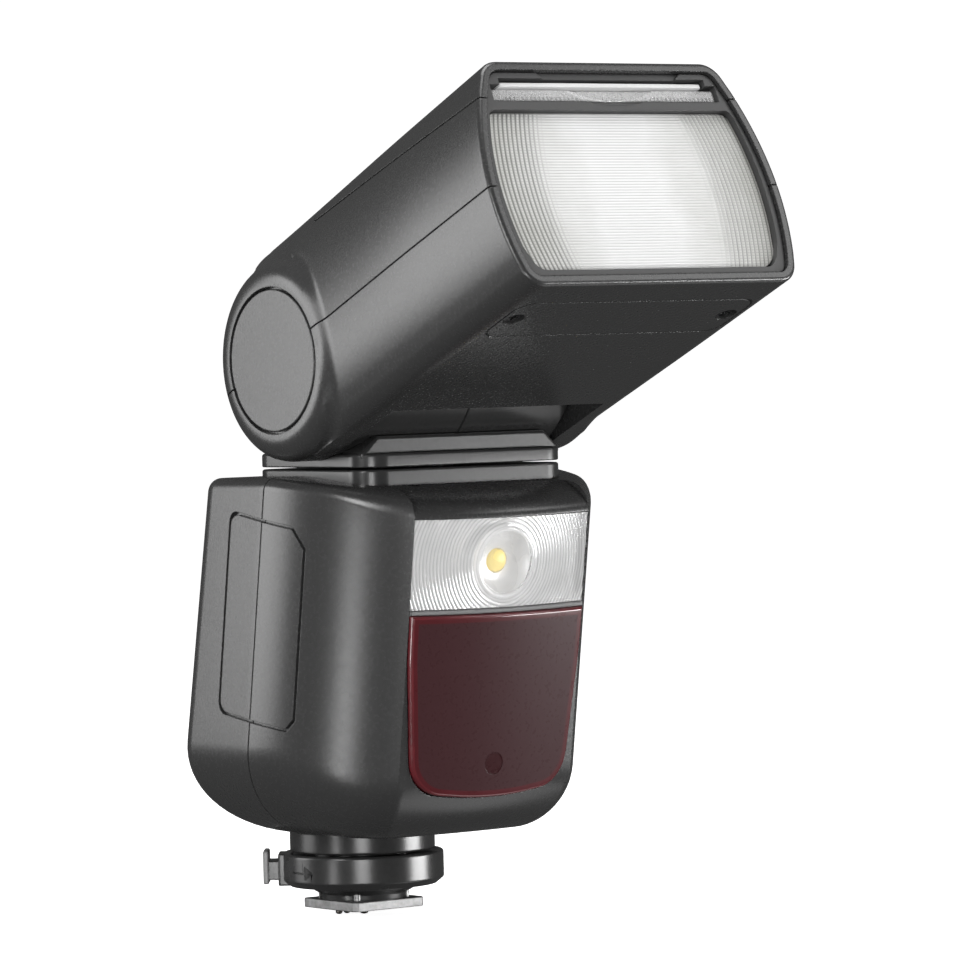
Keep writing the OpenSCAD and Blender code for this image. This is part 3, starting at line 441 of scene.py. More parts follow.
FINISHES = {
    "shell": surface("shell_plastic", grey(0.034), grey(0.04), (0.25, 0.29), 2300, 0.035, 0.35, spec=0.6),
    "satin": surface("satin_plastic", grey(0.026), grey(0.032), (0.23, 0.27), 4200, 0.012, 0.2, spec=0.5),
    "frame": surface("frame_plastic", grey(0.05), grey(0.058), (0.34, 0.4), 3000, 0.015, 0.2, spec=0.5),
    "inner": surface("inner_plastic", grey(0.03), grey(0.04), (0.5, 0.6), 2500, 0.03, 0.3),
    "key": surface("key_plastic", grey(0.06), grey(0.07), (0.45, 0.55), 3500, 0.02, 0.3),
    "red_key": surface("red_key", (0.32, 0.012, 0.01), (0.4, 0.02, 0.015), (0.25, 0.32), 2500, 0.01, 0.2,
                       coat=0.4),
    "trim": surface("grey_trim", grey(0.12), grey(0.15), (0.3, 0.36), 3500, 0.015, 0.25),
    "cup": surface("lamp_cup", grey(0.9), grey(0.97), (0.22, 0.34), 900, 0.02, 0.25, metal=0.1, blotch=160),
    "mirror": surface("mirror_metal", grey(0.78), grey(0.9), (0.12, 0.24), 900, 0.02, 0.25, metal=1.0,
                      blotch=120),
    "board": surface("circuit_board", (0.008, 0.06, 0.025), (0.012, 0.09, 0.04), (0.35, 0.45), 1500, 0.02,
                     0.3),
    "sleeve": surface("capacitor_sleeve", (0.01, 0.016, 0.05), (0.015, 0.022, 0.07), (0.2, 0.3), 900, 0.02,
                      0.2),
    "gold": surface("gold_contact", (0.7, 0.46, 0.16), (0.85, 0.6, 0.24), (0.2, 0.3), 2000, 0.01, 0.2,
                    metal=1.0),
    "glass_black": surface("display_glass", grey(0.008), grey(0.011), (0.05, 0.08), 500, 0.004, 0.1, coat=1.0,
                           coat_rough=0.03),
    "display": surface("display_grey", (0.16, 0.19, 0.16), (0.2, 0.23, 0.2), (0.3, 0.4), 900, 0.01, 0.2),
    "foot": surface("foot_metal", grey(0.14), grey(0.36), (0.42, 0.55), 1400, 0.05, 0.6, metal=1.0,
                    stretch=(1.0, 1.0, 3.0), blotch=700),
    "port": surface("port_metal", grey(0.45), grey(0.55), (0.25, 0.35), 2500, 0.01, 0.2, metal=1.0),
    "contact": surface("contact_metal", grey(0.09, 0.08), grey(0.16, 0.1), (0.15, 0.25), 2500, 0.01, 0.2,
                       metal=1.0),
    "rubber": surface("cover_rubber", grey(0.018), grey(0.022), (0.6, 0.7), 3000, 0.03, 0.4),
    "shaft": surface("shaft_metal", grey(0.2), grey(0.26), (0.3, 0.4), 2200, 0.015, 0.3, metal=1.0),
    "screw": surface("black_screw", grey(0.03), grey(0.045), (0.25, 0.35), 2500, 0.02, 0.3, metal=1.0),
    "tube": surface("tube_glass", grey(0.8), grey(0.9), (0.05, 0.1), 600, 0.01, 0.1, alpha=0.6, coat=1.0),
    "card": surface("white_card", grey(0.78), grey(0.84), (0.4, 0.5), 1200, 0.01, 0.15),
    "chip": surface("lamp_phosphor", (0.85, 0.66, 0.16), (0.95, 0.78, 0.24), (0.35, 0.45), 3000, 0.02, 0.3,
                    glow=((1.0, 0.8, 0.3), 0.3)),
    "tab": surface("lever_tab", grey(0.22), grey(0.27), (0.3, 0.36), 3500, 0.015, 0.25),
    "lamp_board": surface("lamp_board", grey(0.75), grey(0.85), (0.3, 0.4), 1500, 0.01, 0.2),
    # the lamp window and the lens: painted light from the reflector behind them, pale in the middle and greyer
    # to the sides, and painted shade in their valleys
    "lamp_clear": clear_sheet("lamp_clear", 0.66, grey(0.9), grey(0.8), WINDOW_HALF_W, groove_shade=window_ring_shade),
    "lamp_bare": clear_sheet("lamp_bare", 0.12, grey(0.9), grey(0.85), WINDOW_HALF_W, (0.03, 0.06)),
    "lens_clear": clear_sheet("lens_clear", 0.84, grey(0.84), (0.54, 0.54, 0.51), LENS_HALF_W,
                              groove_shade=lens_groove_shade),
    "panel_clear": surface("panel_clear", grey(0.75), grey(0.9), (0.08, 0.14), 900, 0.02, 0.4, alpha=0.32,
                           coat=1.0),
    "red": surface("red_window", (0.05, 0.02, 0.022), (0.056, 0.022, 0.025), (0.26, 0.3), 1800, 0.006, 0.12,
                   spec=0.12),
    "red_edge": surface("red_edge", (0.07, 0.011, 0.014), (0.095, 0.015, 0.019), (0.26, 0.3), 1800, 0.006,
                        0.12, spec=0.15, blotch=200),
    "red_disc": surface("red_disc", (0.03, 0.003, 0.005), (0.036, 0.004, 0.006), (0.26, 0.3), 1800, 0.006,
                        0.12, spec=0.15),
    "red_rim": surface("red_rim", (0.09, 0.012, 0.016), (0.16, 0.018, 0.024), (0.2, 0.26), 900, 0.01, 0.2,
                       coat=1.0, blotch=260),
    "af": surface("af_red", (0.06, 0.005, 0.008), (0.09, 0.008, 0.012), (0.2, 0.3), 1500, 0.01, 0.2,
                  coat=0.5),
}

# ======== The case ========
def case_back_y(z_lean):
    return CASE_BACK - (z_lean - BACK_MID) * math.tan(math.radians(BACK_TILT))


def shoulder(y):
    """Height of the case's top in the leaning frame."""
    rear = 95.2 - (y - SEAM_Y) * 4.0 / 23.6
    front = 95.2 - (y - SEAM_Y) * 1.3 / 32.7
    return (rear + front - np.sqrt((rear - front) ** 2 + 0.35)) / 2


# numbers of the plan's points at the two ends of its bowed front
FRONT_FIRST, FRONT_LAST = 56, 86


def plan(corner, back):
    """The case from above: back flat, two straight flanks, two curved ones and the bowed front."""
    c, end = CASE_HALF_W - SIDE_R, math.degrees(math.asin((SIDE_START - CASE_FRONT) / SIDE_R))
    edge = math.degrees(math.asin(WINDOW_HALF_W / FRONT_R))
    return np.concatenate([
        arc(CASE_HALF_W - corner, back - corner, corner, 0, 90, 12),
        arc(corner - CASE_HALF_W, back - corner, corner, 90, 180, 12),
        arc(-c, SIDE_START, SIDE_R, 180, 180 + end, 30)[:-1],
        arc(0, FRONT_CENTRE, FRONT_R, 270 - edge, 270 + edge, 30),
        arc(c, SIDE_START, SIDE_R, 360 - end, 360, 30)[1:],
    ])


def untangled(p):
    """A shrunk plan whose points that ran past the two front corners are put back on them."""
    first, last = FRONT_FIRST, FRONT_LAST
    out = p.copy()
    for corner, part in ((p[first], slice(26, first)), (p[last], slice(last + 1, len(p)))):
        past = out[part, 1] < corner[1]
        out[part][past] = corner
    middle = out[first:last + 1]
    middle[middle[:, 0] < p[first, 0]] = p[first]
    middle[middle[:, 0] > p[last, 0]] = p[last]
    return out


def blend01(t):
    t = np.clip(t, 0, 1)
    return t * t * (3 - 2 * t)


# height at which the case's back ends, for its lean
TOP_LEVEL = 91.0


def case_solid(name, d=0.0):
    """The case's outer shape, closed, every face moved in by d."""
    corner, side_round, front_round, z0 = 5.5, 20.0, 13.0, CASE_BOTTOM + d
    rings = []

    def world_ring(z, back_corner, inset):
        base = plan(back_corner, case_back_y((z - CASE_BACK * SIN_L) / COS_L))
        p = untangled(shrink(base, inset(base)))
        zl = (z - p[:, 1] * SIN_L) / COS_L
        return [(x, y, h) for (x, y), h in zip(p, zl)]

    def bottom_inset(z):
        def amount(base):
            frontness = blend01((-base[:, 1] - 12) / 24)
            r = side_round + (front_round - side_round) * frontness
            t = np.clip((z0 + r - z) / r, 0, 1)
            return d + r * (1 - np.sqrt(np.maximum(0, 1 - t * t)))
        return amount

    for k in range(19):
        a = math.pi / 2 * k / 18
        z = z0 + side_round * (1 - math.cos(a))
        inset = side_round * (1 - math.sin(a))
        rings.append(world_ring(z, corner + inset * 0.9, bottom_inset(z)))
    low = z0 + side_round
    # walls: each column runs from the bottom rounding to its own shoulder
    frontness = blend01((-plan(corner, case_back_y(90.0))[:, 1] - 22) / 16)
    top_r = np.maximum(2.6 + 2.6 * frontness - d, 0.3)
    for t in np.linspace(0, 1, 13)[1:]:
        back = case_back_y((low + (TOP_LEVEL - low) * t - CASE_BACK * SIN_L) / COS_L)
        p = shrink(plan(corner, back), d)
        h_top = shoulder(p[:, 1]) - d - top_r
        h_low = (low - p[:, 1] * SIN_L) / COS_L
        h = h_low + (h_top - h_low) * t
        rings.append([(x, y, z) for (x, y), z in zip(p, h)])
    back = case_back_y(TOP_LEVEL)
    base = plan(corner, back)
    for k in range(1, 9):
        a = math.pi / 2 * k / 8
        p = shrink(base, d + top_r * (1 - math.cos(a)))
        h = shoulder(p[:, 1]) - d - top_r * (1 - math.sin(a))
        rings.append([(x, y, z) for (x, y), z in zip(p, h)])
    for k in range(1, 6):
        p = shrink(plan(corner + 3 * k, back), d + top_r + 3 * k)
        rings.append([(x, y, z) for (x, y), z in zip(p, shoulder(p[:, 1]) - d)])
    return Shape().loft(rings).object(name, CASE)


def front_at(x, lift):
    return FRONT_CENTRE - np.sqrt((FRONT_R + lift) ** 2 - np.asarray(x, float) ** 2)


def panel_outline(g):
    w = WINDOW_HALF_W
    right = [(w - 2.6 + g, PANEL_LOW + 2.4 - g), (w - 0.2 + g, 62), (w + g, WINDOW_HIGH + g)]
    left = [(-x, z) for x, z in right[::-1]]
    return rounded([(0, PANEL_LOW - g)] + right + left, [92, 8.2, 40, 0, 0, 40, 8.2], 12)


def bay_outline(d):
    base = [(BAY_FRONT, BAY_LOW + 2.6), (BAY_FRONT + 2, BAY_LOW), (BAY_BACK, BAY_LOW + 0.1),
            (BAY_BACK, BAY_HIGH), (BAY_FRONT + 3.6, BAY_HIGH - 0.3), (BAY_FRONT, BAY_HIGH - 4.4)]
    return rounded(shrink(base, d), [0.8, 0.8, 2.5, 2.5, 0.8, 0.8], 6)


def closed_sheet(rows, back):
    """The points and faces of a plate whose front points are rows; back places the rear one of a rim point."""
    m, n = len(rows), len(rows[0])
    verts = [p for row in rows for p in row]
    faces = [[j * n + i, j * n + i + 1, (j + 1) * n + i + 1, (j + 1) * n + i]
             for j in range(m - 1) for i in range(n - 1)]
    rim = list(range(n)) + [j * n + n - 1 for j in range(1, m)]
    rim += [(m - 1) * n + i for i in range(n - 2, -1, -1)] + [j * n for j in range(m - 2, 0, -1)]
    base, k = len(verts), len(rim)
    verts += [back(verts[i]) for i in rim]
    faces += [[rim[i], rim[(i + 1) % k], base + (i + 1) % k, base + i] for i in range(k)]
    return verts, faces + [[base + i for i in range(k)]]


def prism(outline, low, high, to=flat, place=WORLD):
    return Shape().slab(outline, low, high, to=to).object("tool", place)


def box_tool(a, b, place):
    return prism(rectangle(a[0], a[1], b[0], b[1]), a[2], b[2], flat, place)


def rod(r, low, high, to=flat, place=WORLD, at=(0, 0, 0), n=64):
    return Shape().lathe([(0, low), (r, low), (r, high), (0, high)], n, to, at=at).object("tool", place)


def plinth_outline(g=0.0):
    w, d = PLINTH_W / 2 + g, PLINTH_D / 2 + g
    return rectangle(-w, SWIVEL_Y - d, w, SWIVEL_Y + d, 6 + g, 12)


def control_outline(g):
    w = 29 + g
    return rounded([(-w, -26 - g), (w, -26 - g), (w, 26.4 + g), (-w, 26.4 + g)], [4, 4, 2.5, 2.5], 8)


whole = case_solid("case_whole")
cavity = boolean(case_solid("tool", WALL), box_tool((-25, -60, 90.4), (25, -24, 130), CASE))
boolean(cavity, box_tool((-80, -80, 92.6), (80, 60, 130), CASE))

# battery pack: its outer face is the case's own surface inside the bay outline
pack_space = prism(bay_outline(0.2), 31.5, 60, facing_side, CASE)
pack_face = boolean(copy_of(whole, "pack_face"), pack_space, "INTERSECT")

def brow_tool():
    """What is cut away above the brow: a quarter ellipse whose reach follows the bowed front."""
    a = np.radians(np.linspace(0, 88, 25))
    rings = []
    for x in np.linspace(-WINDOW_HALF_W - 0.12, WINDOW_HALF_W + 0.12, 41):
        reach = float(front_at(x, 0.0)) - BROW_BACK
        ring = [(x, BROW_BACK + reach * math.sin(t), WINDOW_HIGH + 5.6 * math.cos(t)) for t in a]
        rings.append(ring + [(x, -60, WINDOW_HIGH), (x, -60, 125), (x, BROW_BACK, 125)])
    return Shape().loft(rings).object("tool", CASE)


def blind_groove():
    """The shallow groove that repeats the battery cover's outline on the other side."""
    band = prism(bay_outline(0.0), -60, -30, facing_side, CASE)
    boolean(band, prism(bay_outline(0.65), -61, -29, facing_side, CASE))
    return boolean(band, case_solid("tool", 0.9))


boolean(whole, cavity)
tools = [
    prism(panel_outline(0.12), -60, CASE_FRONT + 7, facing_front, CASE),
    brow_tool(),
    rod(13.1, CASE_BOTTOM - 1, CASE_BOTTOM + 6, flat, WORLD),
    prism(bay_outline(0.0), -24.5, 60, facing_side, CASE),
    blind_groove(),
    prism(plinth_outline(0.1), 85, 115, flat, WORLD),
    prism(rectangle(6.6, 51.9, 12.4, 74.1, 0.8, 6), CASE_HALF_W - 1.3, 60, facing_side, CASE),
    prism(rectangle(7.8, 63.9, 11.2, 73.1, 1.5, 6), 26, 60, facing_side, CASE),
    rod(2.6, 25, 60, facing_side, CASE, (0, 9.5, 57)),
    prism(control_outline(0.12), -2.2, 6, facing_front, BACK),
    prism(rectangle(-26, 0, 26, 25), -6, 1, facing_front, BACK),
    prism(rectangle(-27, -23, 27, 3), -4, 1, facing_front, BACK),
]
for tool in tools:
    boolean(whole, tool)
rear_space = box_tool((-80, SEAM_Y + SEAM_GAP / 2, -40), (80, 90, 160), CASE)
rear_case = boolean(copy_of(whole, "rear_case_shell"), rear_space, "INTERSECT")
front_case = boolean(whole, box_tool((-80, -90, -40), (80, SEAM_Y - SEAM_GAP / 2, 160), CASE), "INTERSECT")
front_case.name = "front_case_shell"
finish_piece(front_case, "case", "shell", "front_shell")
finish_piece(rear_case, "case", "shell", "rear_shell")

plinth = Shape().slab(plinth_outline(), 89.0, PLINTH_TOP, 0, 0.5)
finish_piece(plinth.object("top_plinth_piece"), "case", "satin", "top_plinth")


# ---------- front panel ----------
# lamp window: a clear plate with fine rings round the lamp
def ringed(x, z):
    r = np.hypot(x - RINGS_X, z - LAMP_Z)
    fade = np.clip((r - RINGS_R) / 0.4, 0, 1)
    wave = 0.09 * (0.5 + 0.5 * np.cos(2 * math.pi * (r - RINGS_R) / RINGS_PITCH)) * fade
    rim = 0.22 * np.exp(-((r - 7.1) / 0.4) ** 2)
    return rim - wave


w_half, w_low, w_high = WINDOW_HALF_W - 0.05, WINDOW_LOW + 0.05, WINDOW_HIGH - 0.05
xs, zs = np.linspace(-w_half, w_half, 301), np.linspace(w_low, w_high, 127)
verts, faces = closed_sheet([[(x, front_at(x, float(ringed(x, z)) - 0.1), z) for x in xs] for z in zs],
                            lambda p: (p[0], front_at(p[0], -1.2), p[2]))
from_lamp = [math.hypot(x - RINGS_X, z - LAMP_Z) for x, y, z in verts]
bare = [int(max(from_lamp[i] for i in face) < BARE_R) for face in faces[:-1]] + [1]
window = Shape().add(verts, faces, bare).object("lamp_window", CASE)
finish_piece(window, "case", ["lamp_clear", "lamp_bare"], "led_window", "clear_plastic", 50, False)

# reflector behind it, with a shallow bowl reaching up to the window, and the lamp in the bowl
BOWL_Y, PLATE_Y = -37.7, -37.4


def facing_lamp(p):
    return (p[0], p[2], p[1] + LAMP_Z)


plate = rectangle(-21.8, WINDOW_LOW + 0.3, 21.8, WINDOW_HIGH - 0.5)
plate = Shape().slab(plate, PLATE_Y, PLATE_Y + 1, to=facing_front).object("lamp_reflector", CASE)
boolean(plate, rod(7.7, -50, -20, facing_front, CASE, (0, 0, LAMP_Z)))
finish_piece(plate, "case", "mirror", "led_reflector")
bowl = [(2.6 + 4.8 * math.sqrt(t), BOWL_Y - 1.7 * t) for t in np.linspace(0, 1, 17)]
bowl += [(7.6, BOWL_Y - 1.7), (7.6, BOWL_Y + 0.8), (2.6, BOWL_Y + 0.8)]
cup = Shape().lathe(bowl, 96, facing_lamp).object("lamp_bowl", CASE)
finish_piece(cup, "case", "cup", slot="mirror_metal")
dome = [(0, -0.75), (1.5, -0.7), (2.15, -0.4), (2.4, 0), (2.4, 0.8), (0, 0.8)]
chip = Shape().lathe([(r, BOWL_Y + depth) for r, depth in dome], 48, facing_lamp)
board = rectangle(-8.5, LAMP_Z - 8.5, 8.5, LAMP_Z + 8.5, 0.6, 4)
chip.slab(board, BOWL_Y + 0.7, BOWL_Y + 2.2, to=facing_front, mat=1)
finish_piece(chip.object("lamp_chip", CASE), "case", ["chip", "lamp_board"], "led_board", "lamp_board")

# grey divider strip
xs = np.linspace(-WINDOW_HALF_W + 0.05, WINDOW_HALF_W - 0.05, 60)
loop = np.array([(x, 70.97) for x in xs] + [(x, 71.95) for x in xs[::-1]])
strip = Shape().loft([[(x, front_at(x, lift), z) for x, z in shrink(loop, inset)]
                      for lift, inset in ((-2.0, 0), (0.15, 0), (0.3, 0.15))])
finish_piece(strip.object("divider_strip", CASE), "case", "trim", "window_divider")


# red panel: a bowed plate with a softly rounded rim
def dense(outline, step=0.8):
    out = []
    for i in range(len(outline)):
        p, q = outline[i], outline[(i + 1) % len(outline)]
        k = max(1, int(np.linalg.norm(q - p) / step))
        out += [p + (q - p) * j / k for j in range(k)]
    return np.array(out)


PANEL_TOP, PANEL_TOP_X, RIM_R = 70.9, WINDOW_HALF_W - 0.12, 1.0
below = panel_outline(-0.1)
below = below[below[:, 1] < PANEL_TOP - 1.0]
# the outline starts after its highest point on the right, so that the square top corners close it
right_side = np.where(below[:, 0] > 0, below[:, 1], -1)
below = np.roll(below, -int(np.argmax(right_side)) - 1, 0)
outline = dense(np.concatenate([below, [(PANEL_TOP_X, PANEL_TOP), (-PANEL_TOP_X, PANEL_TOP)]]))
# no points close to those corners, where moving them inwards would cross them over
from_corner = np.hypot(np.abs(outline[:, 0]) - PANEL_TOP_X, outline[:, 1] - PANEL_TOP)
outline = outline[(from_corner < 1e-6) | (from_corner > 2.0)]


def on_panel(points, lift=PANEL_PROUD):
    return [(x, front_at(x, lift), z) for x, z in points]


rim = [on_panel(outline, -2.0), on_panel(outline, PANEL_PROUD - RIM_R)]
for t in np.linspace(0, math.pi / 2, 7)[1:]:
    inset = RIM_R * 0.7 * (1 - math.cos(t))
    rim.append(on_panel(shrink(outline, inset), PANEL_PROUD - RIM_R * (1 - math.sin(t))))
inner, centre = shrink(outline, 1.6), np.array([0.0, 55.0])
face = [on_panel(inner)] + [on_panel(inner + (centre - inner) * t) for t in np.linspace(0.08, 1.0, 14)[:-1]]
numbers = list(range(len(outline)))
red = Shape().loft(rim, 1, caps=False).loft([rim[-1], face[0]], 2, caps=False).loft(face, 0, caps=False)
red = red.add(face[-1], [numbers]).add(rim[0], [numbers[::-1]], 1).object("red_panel", CASE)
# the assist lamp shows through the panel as a darker disc, a little nearer the viewer's side than it sits
disc_face = float(front_at(AF_SEEN_X, PANEL_PROUD)) + 0.12
boolean(red, rod(AF_R, -50, disc_face, facing_front, CASE, (AF_SEEN_X, 0, AF_Z)))
back_to_case = CASE.inverted()
for polygon in red.data.polygons:
    spot = back_to_case @ polygon.center
    if math.hypot(spot.x - AF_SEEN_X, spot.z - AF_Z) < AF_R - 0.01 and spot.y < CASE_FRONT:
        polygon.material_index = 3
finish_piece(red, "case", ["red", "red_rim", "red_edge", "red_disc"], "sensor_panel", sharp=40)

# ---------- battery pack, latch, ports ----------
LATCH_Y, LATCH_Z, GRIP_LINES = -6.8, 77.0, (-1, 0, 1)
block = rectangle(BAY_FRONT + 1.75, BAY_LOW + 1.75, BAY_BACK - 1.75, BAY_HIGH - 2.05, 1.2, 6)
block = Shape().slab(block, -22.0, 32.3, 1.0, 0, to=facing_side).object("tool", CASE)
pack = boolean(pack_face, block, "UNION")
recess = rectangle(LATCH_Y - 7.3, LATCH_Z - 4.8, LATCH_Y + 7.3, LATCH_Z + 2.5, 1.0, 6)
boolean(pack, prism(recess, 33.6, 60, facing_side, CASE))
pack.name = "battery_pack_piece"
finish_piece(pack, "battery", "shell", "battery_pack", "inner_plastic")
latch = rectangle(LATCH_Y - 7, LATCH_Z - 2.2, LATCH_Y + 7, LATCH_Z + 2.2, 0.8, 6)
latch = Shape().slab(latch, 33.9, 36.2, 0, 0.4, to=facing_side)
for line in GRIP_LINES:
    z = LATCH_Z + 1.2 * line
    grip = rectangle(LATCH_Y - 5, z - 0.3, LATCH_Y + 5, z + 0.3, 0.25, 4)
    latch.slab(grip, 36.1, 36.85, 0, 0.2, to=facing_side)
finish_piece(latch.object("battery_latch_piece", CASE), "battery_latch", "key", "battery_latch")
cover = rectangle(6.75, 52.05, 12.25, 73.95, 0.7, 6)
cover = Shape().slab(cover, CASE_HALF_W - 1.2, CASE_HALF_W, 0, 0.3, to=facing_side)
for z in (53.0, 54.0, 55.0):
    grip = rectangle(8.4, z - 0.2, 10.6, z + 0.2, 0.15, 3)
    cover.slab(grip, CASE_HALF_W - 0.1, CASE_HALF_W, to=facing_side)
finish_piece(cover.object("port_cover_piece", CASE), "port_cover", "rubber", "port_cover")

# ======== Rear controls ========
LCD_W, LCD_LOW, LCD_HIGH = 26.0, 4.6, 25.0
DIAL_X, DIAL_Z, DIAL_R, SET_R = 8.5, -14.6, 9.4, 4.9
MODE_X, MODE_Z, TEST_Z, POWER_X = -15.0, -10.4, -19.0, 24.2
KEY_XS = [(i - 1.5) * 13 for i in range(4)]


def around(x, z, w, h, r, n=5):
    """A rounded rectangle round a place on the control panel, by its half width and half height."""
    return rectangle(x - w, z - h, x + w, z + h, r, n)


controls = Shape().slab(control_outline(-0.02), -2.0, 0.25, 0, 0.25, to=facing_front)
controls = controls.object("control_panel_piece", BACK)
openings = [
    (rectangle(-LCD_W - 0.1, LCD_LOW - 0.1, LCD_W + 0.1, LCD_HIGH + 0.1, 1.0, 5), -0.9),
    (rectangle(-LCD_W + 2, LCD_LOW + 1.5, LCD_W - 2, LCD_HIGH - 1.5, 0.6, 5), -6),
    (around(MODE_X, MODE_Z, 6.2, 2.7, 2.2, 8), -6),
    (disc(3.5, 64, MODE_X, TEST_Z), -6),
    (disc(DIAL_R + 0.2, 96, DIAL_X, DIAL_Z), -6),
    (around(POWER_X, DIAL_Z, 2.4, 5.4, 1.0), -6),
]
openings += [(around(x, 0.3, 5.2, 2.2, 1.2, 6), -6) for x in KEY_XS]
for outline, depth in openings:
    boolean(controls, prism(outline, depth, 3, facing_front, BACK))
finish_piece(controls, "case", "satin", "control_panel")
glass = Shape().slab(rectangle(-LCD_W, LCD_LOW, LCD_W, LCD_HIGH, 0.9, 5), -0.8, 0.2, 0, 0.15, to=facing_front)
finish_piece(glass.object("display_window", BACK), "case", "glass_black", "lcd_window")


def key(name, node, outline, high=1.1, finish="key", crown=0.35):
    """A key cap with a rounded, slightly crowned top."""
    rings = [(outline, -2.5)]
    for k in range(6):
        t = math.pi / 2 * k / 5
        rings.append((shrink(outline, 0.4 * (1 - math.cos(t))), high - crown - 0.4 * (1 - math.sin(t))))
    middle, edge = outline.mean(0), shrink(outline, 0.45)
    rings += [(edge + (middle - edge) * t, high - crown * (1 - t) ** 2) for t in np.linspace(0.15, 0.95, 7)]
    cap = Shape().loft([[facing_front((x, y, z)) for x, y in ring] for ring, z in rings]).object(name, BACK)
    finish_piece(cap, node, finish, node)


for i, x in enumerate(KEY_XS, 1):
    key(f"function_key_{i}", f"function_button_{i}", dense(around(x, 0.3, 5, 2, 1.0, 6)))
key("mode_key", "mode_button", dense(around(MODE_X, MODE_Z, 6, 2.5, 2.0, 8)))
key("test_key", "test_button", disc(3.3, 48, MODE_X, TEST_Z), finish="red_key")
key("set_key", "set_button", disc(SET_R, 64, DIAL_X, DIAL_Z), 1.2, crown=0.1)
power = Shape().slab(around(POWER_X, DIAL_Z - 2, 2.2, 3.2, 0.8), -2.8, 1.3, 0, 0.4, to=facing_front)
for line in GRIP_LINES:
    grip = around(POWER_X, DIAL_Z - 2 + 1.6 * line, 1.7, 0.35, 0.3, 4)
    power.slab(grip, 1.2, 1.7, 0, 0.25, to=facing_front)
finish_piece(power.object("power_slider", BACK), "power_switch", "key", "power_switch")

# the dial: a ring with finger ribs round it
TEETH = 72
angles = np.linspace(0, 2 * math.pi, TEETH * 6, endpoint=False)
ribbed = DIAL_R - 0.02 - 0.32 * np.abs(np.sin(angles * TEETH / 4)) ** 6
even = np.ones(len(angles))
hole = even * (SET_R + 0.25)
profile = [(hole, 1.45), (hole + 0.2, 1.7), (even * (DIAL_R - 1.3), 1.7), (ribbed - 0.5, 1.55),
           (ribbed - 0.15, 1.2), (ribbed, 0.8), (ribbed, -2.2), (hole, -2.2)]
dial_rings = [[(r * math.cos(t) + DIAL_X, h, r * math.sin(t) + DIAL_Z) for t, r in zip(angles, radii)]
              for radii, h in profile]
dial = Shape().loft(dial_rings + dial_rings[:1], caps=False)
finish_piece(dial.object("dial_ring", BACK), "select_dial", "key", "select_dial")

# ======== Foot ========
# half width, half length and thickness of the metal plate; the contacts' and the lock pin's places and sizes
FOOT_W, FOOT_L, FOOT_T = 9.3, 9.5, 2.0
DATA_X, DATA_Y, LOCK_Y = (-4, -1.9, 1.9, 4), 3.6, 6.6
DATA_R, SYNC_R, TIP, RUN = 0.9, 1.2, -1.6, 0.06
neck_side = [(6, CASE_BOTTOM + 2.5), (6, RING_LOW + 0.5), (HUB_R - RUN, RING_LOW + 0.5),
             (HUB_R - RUN, RING_HIGH + 0.3), (NECK_R, RING_HIGH + 0.3), (NECK_R, CASE_BOTTOM - 0.5),
             (NECK_R + 0.8, CASE_BOTTOM + 0.3), (NECK_R + 0.8, CASE_BOTTOM + 2.5)]
neck = Shape().lathe(rounded(neck_side, [0, 0.2, 0.2, 0.1, 0.5, 0.8, 0, 0], 5), 128)
finish_piece(neck.object("neck_piece"), "case", "satin", "foot_neck")

block_side = [(0, RING_LOW + 0.5), (0, 1.9), (9.4, 1.9), (9.4, 3.2), (11.4, 4.3), (11.6, RING_LOW + 0.5)]
foot_block = Shape().lathe(rounded(block_side, [0, 0, 0.2, 0.2, 0.4, 0], 5), 128)
foot_block.slab(rectangle(-5.4, -6.6, 5.4, 8.6, 0.6, 5), 0.15, FOOT_T, 0.1, 0)
foot_block = foot_block.object("foot_block_piece")
for x in DATA_X:
    boolean(foot_block, rod(DATA_R + RUN, -2, 4.1, at=(x, DATA_Y, 0), n=32))
for y, top in ((0, 4.1), (LOCK_Y, 12)):
    boolean(foot_block, rod(SYNC_R + RUN, -2, top, at=(0, y, 0), n=40))
finish_piece(foot_block, "case", "satin", "foot_block")

foot_outline = [(-FOOT_W + 0.9, -FOOT_L), (FOOT_W - 0.9, -FOOT_L), (FOOT_W, 0.9 - FOOT_L), (FOOT_W, FOOT_L),
                (-FOOT_W, FOOT_L), (-FOOT_W, 0.9 - FOOT_L)]
foot_outline = rounded(foot_outline, [0.2, 0.2, 0.2, 1, 1, 0.2], 5)
foot = Shape().slab(foot_outline, 0, FOOT_T, 0.15, 0.25).object("foot_plate_piece")
boolean(foot, prism(rectangle(-5.5, -6.7, 5.5, 8.7, 0.6, 5), -1, 3))
countersink = [(0, -0.5), (2.0, -0.5), (1.75, 0.0), (0.85, 0.95), (0.85, 3), (0, 3)]
for angle in np.radians([45, 135, 225, 315]):
    screw_at = (9 * math.cos(angle), 9 * math.sin(angle), 0)
    boolean(foot, Shape().lathe(countersink, 32, at=screw_at).object("tool"))
finish_piece(foot, "case", "foot", "foot_plate")


def contact_pin(shape, x, y, r):
    """A sprung contact: a plain barrel with a stepped collar and a domed tip."""
    quarter = np.linspace(0, math.pi / 2, 8)
    side = [(r * 0.82 * math.sin(t), TIP + r * 0.5 * (1 - math.cos(t))) for t in quarter]
    side += [(r * 0.82, TIP + r * 0.9), (r, TIP + r * 1.05), (r, 2.8), (0, 2.8)]
    shape.lathe(side, 32, at=(x, y, 0))


pins, centre_pin = Shape(), Shape()
for x in DATA_X:
    contact_pin(pins, x, DATA_Y, DATA_R)
contact_pin(centre_pin, 0, 0, SYNC_R)
finish_piece(pins.object("data_contacts"), "data_pins", "contact", "data_pins")
finish_piece(centre_pin.object("sync_contact"), "sync_pin", "contact", "sync_pin")

